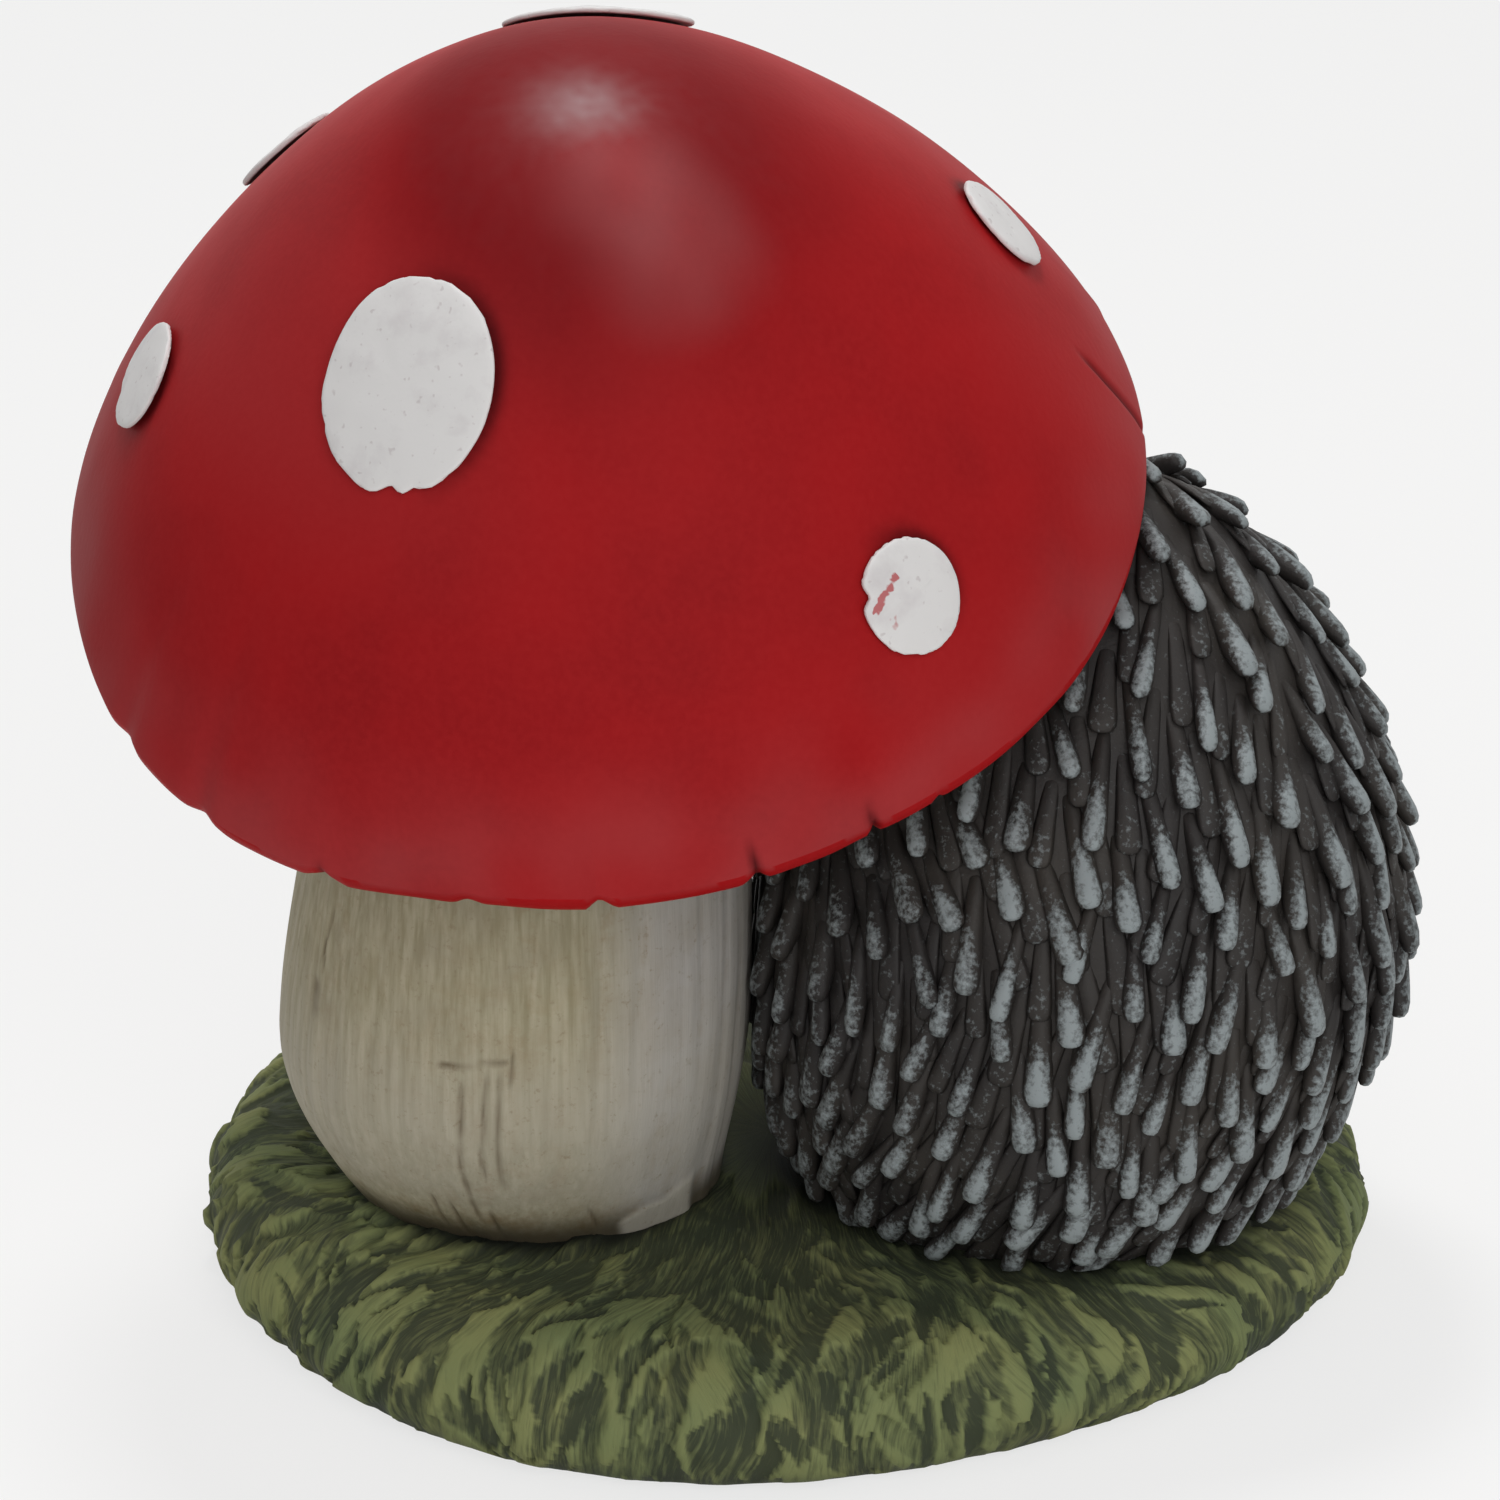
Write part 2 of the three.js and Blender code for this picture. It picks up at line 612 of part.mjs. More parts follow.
function headForm(extra) {
  const around = 18;
  const stations = [
    { along: -0.7, radius: 0.95 },
    { along: 0, radius: 1 },
    { along: 0.2, radius: 0.93 },
    { along: 0.4, radius: 0.74 },
    { along: 0.6, radius: 0.49 },
    { along: 0.8, radius: 0.31 },
    { along: 0.94, radius: SNOUT_RADIUS / HEAD_RADIUS },
  ];
  const rings = stations.map(({ along, radius }) => {
    const reach = HEAD_RADIUS * radius + extra;
    const dip = 1.5 * Math.max(0, along) - 3 * Math.max(0, along) * (1 - Math.max(0, along));
    return Array.from({ length: around }, (_, i) => {
      const angle = (ROUND * i) / around;
      const y = faceY + SNOUT_REACH * along;
      return new THREE.Vector3(-reach * Math.cos(angle), y, HEAD_HEIGHT + dip + reach * Math.sin(angle));
    });
  });
  return loft(rings);
}

const eyeSeats = [-1, 1].map((side) => {
  const along = 0.4;
  const reach = HEAD_RADIUS * 0.72;
  const lookUp = 34 * DEGREE;
  const x = side * reach * Math.cos(lookUp);
  return new THREE.Vector3(x, faceY + SNOUT_REACH * along, HEAD_HEIGHT + reach * Math.sin(lookUp));
});

function earSeat(side) {
  const lookUp = 50 * DEGREE;
  const reach = HEAD_RADIUS * 1.02;
  const x = side * reach * Math.cos(lookUp);
  return new THREE.Vector3(x, faceY + SNOUT_REACH * 0.06, HEAD_HEIGHT + reach * Math.sin(lookUp));
}

function nose(extra) {
  return ellipsoid(NOSE_RADIUS + extra, NOSE_RADIUS * 0.85 + extra, NOSE_RADIUS + extra, snoutTip, 12, 6);
}

function eye(seat, extra) {
  const radius = EYE_RADIUS + extra;
  return ellipsoid(radius, radius, radius, seat, 10, 6);
}

function hedgehogHead() {
  const cuts = [bodyForm(GLUE_GAP), nose(GLUE_GAP), ...eyeSeats.map((seat) => eye(seat, GLUE_GAP))];
  return cuts.reduce((body, cut) => body.subtract(solid(cut)), solid(headForm(0)));
}

// Ears: round shells with a hollow towards the front
function earForm(side, extra) {
  const radius = EAR_RADIUS + extra;
  return ellipsoid(radius, EAR_THICKNESS + extra, radius, earSeat(side), 12, 7);
}

function hedgehogEar(side) {
  const seat = earSeat(side);
  const shell = solid(earForm(side, 0));
  const bowl = new THREE.Vector3(seat.x, seat.y + EAR_THICKNESS * 1.5, seat.z + EAR_RADIUS * 0.15);
  const hollow = solid(ellipsoid(EAR_RADIUS * 0.68, EAR_THICKNESS, EAR_RADIUS * 0.68, bowl, 10, 6));
  return shell.subtract(hollow).subtract(solid(headForm(GLUE_GAP))).subtract(solid(bodyForm(GLUE_GAP)));
}

// Belly: a soft swelling between the feet and the chin
function bellyForm(extra) {
  const halfLength = BODY_LENGTH / 4 + BELLY_SWELL;
  const halfHeight = BELLY_HEIGHT * 0.55;
  const centre = new THREE.Vector3(0, BODY_LENGTH / 4, BELLY_HEIGHT - halfHeight);
  return ellipsoid(BELLY_WIDTH / 2 + extra, halfLength + extra, halfHeight + extra, centre, 18, 10);
}

function hedgehogBelly() {
  const cuts = [bodyForm(GLUE_GAP), headForm(GLUE_GAP)];
  return aboveGround(cuts.reduce((body, cut) => body.subtract(solid(cut)), solid(bellyForm(0))));
}

// Fore paws: stout capsules folded down over the belly
function pawForm(side, extra) {
  const radius = PAW_RADIUS + extra;
  const capsule = new THREE.CapsuleGeometry(radius, PAW_LENGTH - 2 * PAW_RADIUS, 4, 12);
  capsule.rotateX(Math.PI / 2).rotateY(side * 46 * DEGREE).rotateZ(-side * 24 * DEGREE);
  return capsule.translate(side * BELLY_WIDTH * 0.27, BODY_LENGTH / 2 + BELLY_SWELL * 0.5, PAW_HEIGHT);
}

function hedgehogPaw(side) {
  const cuts = [bodyForm(GLUE_GAP), headForm(GLUE_GAP), bellyForm(GLUE_GAP)];
  return cuts.reduce((body, cut) => body.subtract(solid(cut)), solid(pawForm(side, 0)));
}

// Hind feet: flat ovals on the grass in front of the belly
function footForm(side, extra) {
  const centre = new THREE.Vector3(side * FOOT_WIDTH * 0.85, BODY_LENGTH * 0.46, FOOT_HEIGHT * 0.3);
  const halfWidth = FOOT_WIDTH / 2 + extra;
  const halfLength = FOOT_LENGTH / 2 + extra;
  return ellipsoid(halfWidth, halfLength, FOOT_HEIGHT * 0.7 + extra, centre, 14, 8);
}

function hedgehogFoot(side) {
  const oval = solid(footForm(side, 0));
  const cuts = [bodyForm(GLUE_GAP), bellyForm(GLUE_GAP), pawForm(side, GLUE_GAP)];
  return aboveGround(cuts.reduce((body, cut) => body.subtract(solid(cut)), oval));
}

// Assembly
addPiece(figure, "grass_base", grassBase(), paint(0x46512f, 0.75));
addPiece(stemPlace, "mushroom_stem", solid(stemForm(0)).add(solid(peg(0))), paint(0xb5ad9a, 0.7));
addPiece(capPlace, "mushroom_cap", mushroomCap(), paint(0x9c1b20, 0.42));
addPiece(capPlace, "cap_gills", capGills(), paint(0xc2b79e, 0.7));
for (const spot of SPOTS) {
  addPiece(capPlace, spot.name, capSpot(spot), paint(0xe4e0da, 0.6));
}
addPiece(bodyPlace, "hedgehog_spine_coat", spineCoat(), paint(0x35312f, 0.6));
addPiece(bodyPlace, "hedgehog_head", hedgehogHead(), paint(0x9a7a55, 0.75));
addPiece(bodyPlace, "hedgehog_nose", solid(nose(0)), paint(0x17151a, 0.25));
addPiece(bodyPlace, "hedgehog_belly", hedgehogBelly(), paint(0xb39a74, 0.75));
for (const [which, side] of [["left", -1], ["right", 1]]) {
  const seat = (side + 1) / 2;
  addPiece(bodyPlace, `hedgehog_eye_${which}`, solid(eye(eyeSeats[seat], 0)), paint(0x0e0d10, 0.15));
  addPiece(bodyPlace, `hedgehog_ear_${which}`, hedgehogEar(side), paint(0x8a6a4a, 0.75));
  addPiece(bodyPlace, `hedgehog_paw_${which}`, hedgehogPaw(side), paint(0x8f7150, 0.75));
  addPiece(bodyPlace, `hedgehog_foot_${which}`, hedgehogFoot(side), paint(0x8f7150, 0.75));
}

export default figure;
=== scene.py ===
# %% [markdown]
# # A hedgehog under a toadstool, in painted resin
# The ornament is cast in resin in a few pieces, glued together and painted by hand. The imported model
# gives the place and size of every piece. This lesson dresses each of them: it models the fine carving
# that the casting has, and paints it as the workshop would, with base coats and dry brushing.

# %% Load the frame
import math

import bpy
import numpy as np
from mathutils import Euler, Matrix, Vector, noise


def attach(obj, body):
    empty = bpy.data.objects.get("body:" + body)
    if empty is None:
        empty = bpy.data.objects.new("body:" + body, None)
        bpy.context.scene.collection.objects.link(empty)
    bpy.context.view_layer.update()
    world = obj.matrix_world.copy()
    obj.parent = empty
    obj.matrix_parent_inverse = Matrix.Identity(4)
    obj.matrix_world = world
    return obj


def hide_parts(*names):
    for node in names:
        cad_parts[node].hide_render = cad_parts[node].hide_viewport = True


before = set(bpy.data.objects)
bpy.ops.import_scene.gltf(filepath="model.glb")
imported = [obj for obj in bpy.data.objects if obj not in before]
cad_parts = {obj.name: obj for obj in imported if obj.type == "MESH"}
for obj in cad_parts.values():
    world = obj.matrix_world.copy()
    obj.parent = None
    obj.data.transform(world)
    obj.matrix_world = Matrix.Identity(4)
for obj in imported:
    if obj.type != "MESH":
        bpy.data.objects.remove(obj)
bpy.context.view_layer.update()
print("nodes in the frame:", len(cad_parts))

# %% [markdown]
# ## Sizes
# All sizes are in millimetres, as they would be measured on the ornament, and are turned to metres only
# when a mesh gets its points. They repeat the construction model, so that every carved surface lies on
# the solid that it stands for.

# %% Driving sizes
MM = 0.001
DEGREE = math.pi / 180

GLUE_GAP = 0.3
BASE_WIDTH, BASE_DEPTH, BASE_THICKNESS = 137, 117, 15.5
BASE_LOBE, BASE_LOBE_TURN = 2.3, 15
BASE_FAR_SWELL, BASE_FAR_TURN = 7, 62
BASE_BULGE_HEIGHT, BASE_TUCK, BASE_SHOULDER = 5.6, 5.6, 13
TUFT_COUNT, TUFT_HEIGHT, TUFT_SLANT = 30, 0.9, 9

STEM_X, STEM_Y, STEM_LEAN = -31.7, -10, 4.6
STEM_RADIUS, STEM_FOOT_RADIUS, STEM_NECK_RADIUS, STEM_BULGE_HEIGHT = 27.3, 18.5, 21.5, 21
STEM_FOOT_SHIFT, STEM_FOOT_WIDENING = 4.2, 3

CAP_RADIUS, CAP_HEIGHT, CAP_LIP, CAP_RECESS = 61.5, 61, 4, 11
CAP_SHOULDER, CAP_CROWN, CAP_CROWN_ROUND = 1.24, 1.28, 0.2
CAP_TILT, CAP_ROLL, CAP_OFFSET_X, CAP_OFFSET_Y, CAP_CLEARANCE = 22.8, 5.6, 6.1, 4, 3.9
STEM_SOCKET = 6

BODY_WIDTH, BODY_LENGTH, BODY_HEIGHT = 74.8, 75, 85.3
BODY_WIDEST, BODY_UNDERSIDE, BODY_CROWN = 33, 47, 1.72
BODY_SIDE_GAP, BODY_Y, BODY_RUMP, BODY_SWAY = 3, 0.5, 7, 3.3

# %% Places that follow from the sizes
standing = BASE_THICKNESS + GLUE_GAP
stem_place = np.array([STEM_X, STEM_Y, standing])
body_place = np.array([STEM_X + STEM_RADIUS + BODY_SIDE_GAP + BODY_WIDTH / 2, BODY_Y, standing])
lean = math.tan(STEM_LEAN * DEGREE)
cap_turn = Euler((CAP_TILT * DEGREE, -CAP_ROLL * DEGREE, 0), "XYZ").to_matrix()
cap_axis = cap_turn @ Vector((0, 0, 1))
cap_y = STEM_Y + CAP_OFFSET_Y
cap_to_back = body_place[0] - (STEM_X + CAP_OFFSET_X + lean * BODY_HEIGHT)
back_rise = (cap_axis.x * cap_to_back + cap_axis.y * (BODY_Y - cap_y)) / cap_axis.z
cap_z = standing + BODY_HEIGHT + CAP_CLEARANCE + CAP_LIP + back_rise
cap_place = np.array([STEM_X + CAP_OFFSET_X + lean * (cap_z - standing), cap_y, cap_z])
stem_length = cap_z - standing + STEM_SOCKET
cap_turn = np.array(cap_turn)
print("cap rim centre at", cap_place.round(1), "mm, hedgehog at", body_place.round(1), "mm")

# %% [markdown]
# ## Camera, floor and light
# The ornament stands on a white sweep and is seen from a little above, from behind the hedgehog. A soft
# lamp hangs over it and a larger one stands by the camera; the white surroundings fill the rest.

# %% Camera
CAMERA_TARGET = (-2.5, -1, 66)
CAMERA_DISTANCE = 900
CAMERA_ELEVATION = 25
FRAME_WIDTH = 174.3


def aim(thing, place, target):
    """Put a camera or lamp at a place and turn it to a target, both in millimetres."""
    thing.location = Vector(place) * MM
    thing.rotation_euler = (Vector(target) - Vector(place)).to_track_quat("-Z", "Y").to_euler()
    bpy.context.scene.collection.objects.link(thing)


camera_data = bpy.data.cameras.new("camera")
camera_data.angle = 2 * math.atan(FRAME_WIDTH / 2 / CAMERA_DISTANCE)
camera = bpy.data.objects.new("camera", camera_data)
climb = CAMERA_ELEVATION * DEGREE
step_back = Vector((0, -math.cos(climb), math.sin(climb))) * CAMERA_DISTANCE
aim(camera, Vector(CAMERA_TARGET) + step_back, CAMERA_TARGET)
bpy.context.scene.camera = camera
bpy.context.scene.view_settings.view_transform = "Standard"
print("view angle", round(math.degrees(camera_data.angle), 2))

# %% [markdown]
# Every finish below is built from nodes. One function adds a node, sets it and links it; another turns
# the paint colours, written as on a colour chart, into the linear values that the renderer works with.

# %% Colour and node helpers
MIX_FACTOR, MIX_A, MIX_B, MIX_RESULT = 0, 6, 7, 2


def paint(code):
    """Linear colour of an sRGB hex code."""
    shares = [int(code[i:i + 2], 16) / 255 for i in (1, 3, 5)]
    linear = [s / 12.92 if s <= 0.04045 else ((s + 0.055) / 1.055) ** 2.4 for s in shares]
    return (*linear, 1)


def add_node(tree, kind, inputs=None, **settings):
    """Add a shader node, set it, and link or fill its inputs."""
    node = tree.nodes.new(kind)
    for name, value in settings.items():
        setattr(node, name, value)
    for socket, value in (inputs or {}).items():
        if isinstance(value, bpy.types.NodeSocket):
            tree.links.new(value, node.inputs[socket])
        else:
            node.inputs[socket].default_value = value
    return node


def seen_directly(tree):
    """1 for rays from the camera, a mirror or a window, and 0 for light that is handed on."""
    rays = add_node(tree, "ShaderNodeLightPath").outputs
    seen = rays["Is Camera Ray"]
    for kind in ("Is Glossy Ray", "Is Transmission Ray"):
        seen = add_node(tree, "ShaderNodeMath", {0: seen, 1: rays[kind]}, operation="MAXIMUM").outputs[0]
    return seen


# %% Lamps and surroundings
SURROUND_LEVEL = 0.3


def soft_lamp(name, place, target, size, power):
    """A square soft box, in millimetres and watts."""
    data = bpy.data.lights.new(name, "AREA")
    data.size = size * MM
    data.energy = power
    aim(bpy.data.objects.new(name, data), place, target)


soft_lamp("lamp_overhead", place=(-60, 190, 740), target=(-10, 0, 100), size=170, power=2.1)
soft_lamp("lamp_front", place=(190, -800, 540), target=(0, 0, 70), size=600, power=3.3)

world = bpy.data.worlds.new("white_surround")
world.use_nodes = True
bpy.context.scene.world = world
tree = world.node_tree
tree.nodes.clear()
level = add_node(tree, "ShaderNodeMapRange", {
    "Value": seen_directly(tree), "To Min": SURROUND_LEVEL, "To Max": 1})
sky = add_node(tree, "ShaderNodeBackground", {"Color": paint("#ffffff"), "Strength": level.outputs[0]})
add_node(tree, "ShaderNodeOutputWorld", {"Surface": sky.outputs[0]})
print("lamps:", len(bpy.data.lights))

# %% Floor
FLOOR_WIDTH, FLOOR_DROP = 4000, 0.2
FLOOR_GLOW = 0.72
bpy.ops.object.select_all(action="DESELECT")
bpy.ops.mesh.primitive_plane_add(size=FLOOR_WIDTH * MM, location=(0, 0, -FLOOR_DROP * MM))
floor = bpy.context.active_object
floor.name = "floor"
floor_paint = bpy.data.materials.new("white_paper_sweep")
floor_paint.use_nodes = True
tree = floor_paint.node_tree
paper = tree.nodes["Principled BSDF"]
paper.inputs["Base Color"].default_value = paint("#f1f0ee")
paper.inputs["Roughness"].default_value = 0.9
share = add_node(tree, "ShaderNodeMath", {0: seen_directly(tree), 1: FLOOR_GLOW}, operation="MULTIPLY")
glow = add_node(tree, "ShaderNodeEmission", {"Color": paint("#ffffff"), "Strength": 1})
sweep = add_node(tree, "ShaderNodeMixShader", {0: share.outputs[0], 1: paper.outputs[0], 2: glow.outputs[0]})
tree.links.new(sweep.outputs[0], tree.nodes["Material Output"].inputs["Surface"])
floor.data.materials.append(floor_paint)
print("floor", FLOOR_WIDTH, "mm wide")

# %% [markdown]
# ## Mesh helpers
# A modeller works by hand: add a primitive, pull it into shape, carve it. Here the pulling is done on all
# points at once, with the same formulas that the construction model uses, and carving is smooth noise
# with lumps of a size given in millimetres.

# %% Mesh helpers
MERGE_DISTANCE = 0.001


def select_only(*pieces):
    """Select these pieces and nothing else; the first is the active one."""
    bpy.ops.object.select_all(action="DESELECT")
    for piece in pieces:
        piece.select_set(True)
    bpy.context.view_layer.objects.active = pieces[0]


def points_of(piece):
    """All points of a mesh, in millimetres."""
    flat = np.empty(len(piece.data.vertices) * 3)
    piece.data.vertices.foreach_get("co", flat)
    return flat.reshape(-1, 3) / MM


def move_points(piece, points):
    """Put the points of a mesh where they are given, in millimetres."""
    piece.data.vertices.foreach_set("co", (np.asarray(points) * MM).ravel())
    piece.data.update()


def mark(piece, name, values):
    """Keep one number per point with the mesh, for its paint to read."""
    layer = piece.data.attributes.get(name) or piece.data.attributes.new(name, "FLOAT", "POINT")
    layer.data.foreach_set("value", np.broadcast_to(values, len(piece.data.vertices)).astype(float))


def add_ball(name, columns, rows):
    """A ball of radius 1 mm at the origin, to be pulled into shape."""
    bpy.ops.object.select_all(action="DESELECT")
    bpy.ops.mesh.primitive_uv_sphere_add(segments=columns, ring_count=rows, radius=MM)
    bpy.context.active_object.name = name
    return bpy.context.active_object


def close_mesh(piece):
    """Merge the points of a seam and point all faces outwards."""
    select_only(piece)
    bpy.ops.object.mode_set(mode="EDIT")
    bpy.ops.mesh.select_all(action="SELECT")
    bpy.ops.mesh.remove_doubles(threshold=MERGE_DISTANCE * MM)
    bpy.ops.mesh.normals_make_consistent(inside=False)
    bpy.ops.object.mode_set(mode="OBJECT")


def spin_profile(name, profile, steps):
    """Spin a half profile of (radius, height) points round the Z axis into a closed form."""
    mesh = bpy.data.meshes.new(name)
    points = [(radius * MM, 0, height * MM) for radius, height in profile]
    mesh.from_pydata(points, [(i, i + 1) for i in range(len(points) - 1)], [])
    piece = bpy.data.objects.new(name, mesh)
    bpy.context.scene.collection.objects.link(piece)
    select_only(piece)
    lathe = piece.modifiers.new("lathe", "SCREW")
    lathe.steps = lathe.render_steps = steps
    lathe.use_merge_vertices = True
    lathe.merge_threshold = MERGE_DISTANCE * MM
    bpy.ops.object.modifier_apply(modifier=lathe.name)
    close_mesh(piece)
    return piece


# %% Noise, fades and turns
def lumps(points, size, seed=0):
    """Smooth noise from about -1 to 1, with lumps of this size in millimetres, one size or one per axis."""
    places = (np.asarray(points) / size + 17.3 * seed).tolist()
    return np.array([noise.noise(place) for place in places])


def wavering(heights, size, seed):
    """Smooth noise along the height alone."""
    table = np.linspace(heights.min(), heights.max(), 300)
    return np.interp(heights, table, lumps(np.column_stack([0 * table, 0 * table, table]), size, seed))


def ramp(value, low, high):
    """Rises smoothly from 0 at low to 1 at high."""
    share = np.clip((value - low) / (high - low), 0, 1)
    return share * share * (3 - 2 * share)


def turn_apart(turn, centre):
    """How far turns lie from a centre given in degrees, from half a turn back to half a turn on."""
    return np.angle(np.exp(1j * (turn - centre * DEGREE)))


def stripe(turn, centre, half_width, radius):
    """1 on a line that runs up a round form at this turn, fading to 0 at its half width in millimetres."""
    return np.exp(-(turn_apart(turn, centre) * radius / half_width) ** 2)


def hand_over(piece, node, finish):
    """Smooth, paint and register a finished piece in the place of its construction node."""
    select_only(piece)
    bpy.ops.object.shade_smooth()
    piece.data.materials.clear()
    piece.data.materials.append(finish)
    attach(piece, "root")
    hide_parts(node)
    print(piece.name, "faces:", len(piece.data.polygons))


# %% [markdown]
# ## How the figure is painted
# All finishes are made the same way: a base colour, then coats over it. A coat covers where a noise
# pattern or a mark that is kept with the mesh says so. Dry-brushed paint covers a mark with a frayed edge.
# The pattern's own height also gives the paint its slight unevenness.

# %% Paint helpers
def new_paint(name, roughness, shine=0.5):
    """A material with its node tree, its shader and the object's own coordinates."""
    material = bpy.data.materials.new(name)
    material.use_nodes = True
    tree = material.node_tree
    shader = tree.nodes["Principled BSDF"]
    shader.inputs["Roughness"].default_value = roughness
    shader.inputs["IOR"].default_value = 1.5
    shader.inputs["Specular IOR Level"].default_value = shine
    coords = add_node(tree, "ShaderNodeTexCoord").outputs["Object"]
    return material, tree, shader, coords


def patches(tree, where, size, low, high, least=0, most=1, detail=2, roughness=0.5):
    """Noise with features of a size in millimetres: its height, and a share of it between two levels."""
    height = add_node(tree, "ShaderNodeTexNoise", {
        "Vector": where, "Scale": 1 / (size * MM), "Detail": detail, "Roughness": roughness}).outputs[0]
    share = add_node(tree, "ShaderNodeMapRange", {
        "Value": height, "From Min": low, "From Max": high, "To Min": least, "To Max": most})
    return height, share.outputs[0]


def dry_brush(tree, name, frayed, low, high):
    """Share of dry-brushed paint: a mark of the mesh with a frayed edge, between two levels."""
    touch = add_node(tree, "ShaderNodeAttribute", attribute_name=name).outputs["Fac"]
    reach = add_node(tree, "ShaderNodeMath", {0: touch, 1: frayed}, operation="ADD").outputs[0]
    share = add_node(tree, "ShaderNodeMapRange", {"Value": reach, "From Min": low, "From Max": high})
    return share.outputs[0]


def coats(tree, colour, layers):
    """Lay coats over a colour. Each has a share or the name of a mark, and a colour or its code."""
    for where, over in layers:
        if isinstance(where, str):
            where = add_node(tree, "ShaderNodeAttribute", attribute_name=where).outputs["Fac"]
        if isinstance(over, str):
            over = paint(over)
        coat = add_node(tree, "ShaderNodeMix", {
            MIX_FACTOR: where, MIX_A: colour, MIX_B: over}, data_type="RGBA")
        colour = coat.outputs[MIX_RESULT]
    return colour


def dress(tree, shader, colour, height, depth, strength):
    """Give a shader its colour and an unevenness of a depth in millimetres."""
    bump = add_node(tree, "ShaderNodeBump", {"Height": height, "Distance": depth * MM, "Strength": strength})
    tree.links.new(colour, shader.inputs["Base Color"])
    tree.links.new(bump.outputs[0], shader.inputs["Normal"])


# %% [markdown]
# ## Red cap paint
# The cap is sprayed with a satin red, darker in cloudy patches, and has a fine grain. Shade is painted round
# the crown and along the far left edge. A highlight is painted on the crown and a painted sheen along a band
# below it, with a faint painted light on the upper left and a paler tone towards the lip. Satin paint has a
# broad soft highlight, which a roughness of about 0.5 gives. Cracks collect dirt, and a shadow is painted
# along one edge of each spot.

# %% Satin red paint
def satin_red():
    material, tree, shader, coords = new_paint("satin_red_painted_resin", 0.5, shine=0.03)
    cloud, cloudy = patches(tree, coords, 26, 0.42, 0.72, most=0.6, detail=3, roughness=0.55)
    grain, grainy = patches(tree, coords, 0.9, 0.35, 0.7, most=0.3)
    # Coats: painted shade, then a painted highlight, sheen and light with a paler veil, then dark cracks,
    # which also hold the painted shadow beside the spots.
    colour = coats(tree, paint("#a71519"), [
        (cloudy, "#8a1115"), (grainy, "#ae2022"), ("painted_cap_shade", "#6c0d12"), ("painted_light_and_veil", "#a88a8c"),
        ("crack", "#3a0d10")])
    gloss = add_node(tree, "ShaderNodeMapRange", {
        "Value": cloud, "From Min": 0.3, "From Max": 0.7, "To Min": 0.44, "To Max": 0.54})
    tree.links.new(gloss.outputs[0], shader.inputs["Roughness"])
    dress(tree, shader, colour, grain, depth=0.06, strength=0.5)
    return material


# %% [markdown]
# ## White spot paint
# The spots are brushed with a matt white over a grey primer, which shows through as faint grey and pink
# patches. The rim of each spot is dark at its foot, and painted shade darkens more of it on the side turned
# away from the light. One spot is scratched down to the red.

# %% Matt white paint
def matt_white():
    material, tree, shader, coords = new_paint("matt_white_painted_resin", 0.6)
    patch, patchy = patches(tree, coords, 5, 0.5, 0.75, most=0.5, detail=4, roughness=0.6)
    speck, specky = patches(tree, coords, 0.8, 0.68, 0.76, most=0.35, detail=1)
    scratch = add_node(tree, "ShaderNodeAttribute", attribute_name="scratch").outputs["Fac"]
    scratches = add_node(tree, "ShaderNodeMath", {0: scratch, 1: speck}, operation="MULTIPLY")
    bared = add_node(tree, "ShaderNodeMapRange", {
        "Value": scratches.outputs[0], "From Min": 0.22, "From Max": 0.32, "To Max": 0.85})
    # The rim mark: dark at the foot of each spot's rim, and painted shade higher up on one side.
    rim = add_node(tree, "ShaderNodeAttribute", attribute_name="rim").outputs["Fac"]
    dark_rim_and_shade = add_node(tree, "ShaderNodeMapRange", {
        "Value": rim, "From Min": 0.5, "From Max": 0.85, "To Max": 0.9})
    colour = coats(tree, paint("#e6e4e3"), [
        (patchy, "#cbc4c6"), (specky, "#ab9b9c"), (bared.outputs[0], "#b5383c"),
        (dark_rim_and_shade.outputs[0], "#4a1a1c")])
    dress(tree, shader, colour, patch, depth=0.2, strength=0.4)
    return material


# %% [markdown]
# ## Stem paint
# The stem is painted cream, streaked from top to bottom with a nearly dry brush in lighter cream, and washed
# with a thin ochre brown that stays in the grooves and in small stains. A cool grey light is painted on the
# side of the hedgehog, and painted shade darkens the foot where it meets the grass. The streaks are noise
# that is pulled out along the height.

# %% Dry-brushed cream paint
STREAK_WIDTH, STREAK_LENGTH = 0.9, 20


def streaked_cream():
    material, tree, shader, coords = new_paint("dry_brushed_cream_resin", 0.66, shine=0.3)
    pull = add_node(tree, "ShaderNodeMapping", {
        "Vector": coords, "Scale": (1, 1, STREAK_WIDTH / STREAK_LENGTH)})
    streak, light = patches(tree, pull.outputs[0], STREAK_WIDTH, 0.36, 0.68, detail=3, roughness=0.6)
    _, greyish = patches(tree, coords, 9, 0.45, 0.75, most=0.4, detail=4)
    _, blots = patches(tree, coords, 3, 0.44, 0.68, detail=5, roughness=0.7)
    stain = add_node(tree, "ShaderNodeAttribute", attribute_name="stain").outputs["Fac"]
    wash = add_node(tree, "ShaderNodeMath", {0: stain, 1: blots}, operation="MULTIPLY").outputs[0]
    _, specks = patches(tree, coords, 0.9, 0.58, 0.72, most=0.5, detail=4, roughness=0.7)
    # The cool coat is painted cool light on the hedgehog's side; the last coat is painted shade at the foot.
    colour = coats(tree, paint("#9a9275"), [
        (light, "#b6ae94"), ("painted_cool_light", "#b9b6b4"), (greyish, "#9a917f"), (wash, "#8a7046"),
        ("chalk", "#bab5a8"), (specks, "#85755a"), ("crack", "#513d23"), ("painted_foot_shade", "#474030")])
    dress(tree, shader, colour, streak, depth=0.2, strength=0.45)
    return material


# %% [markdown]
# ## Grass paint
# Grass is painted in two steps: a dark green over everything, then a light olive on a nearly dry brush that
# only touches the raised ridges. A painted shadow darkens it round the stem and the hedgehog, between them
# and along the bottom edge. The carving keeps its own height with the mesh, and the way that its strands are
# combed, so the paint can follow both.

# %% Dry-brushed grass paint
STRAND_WIDTH, STRAND_LENGTH = 0.6, 5


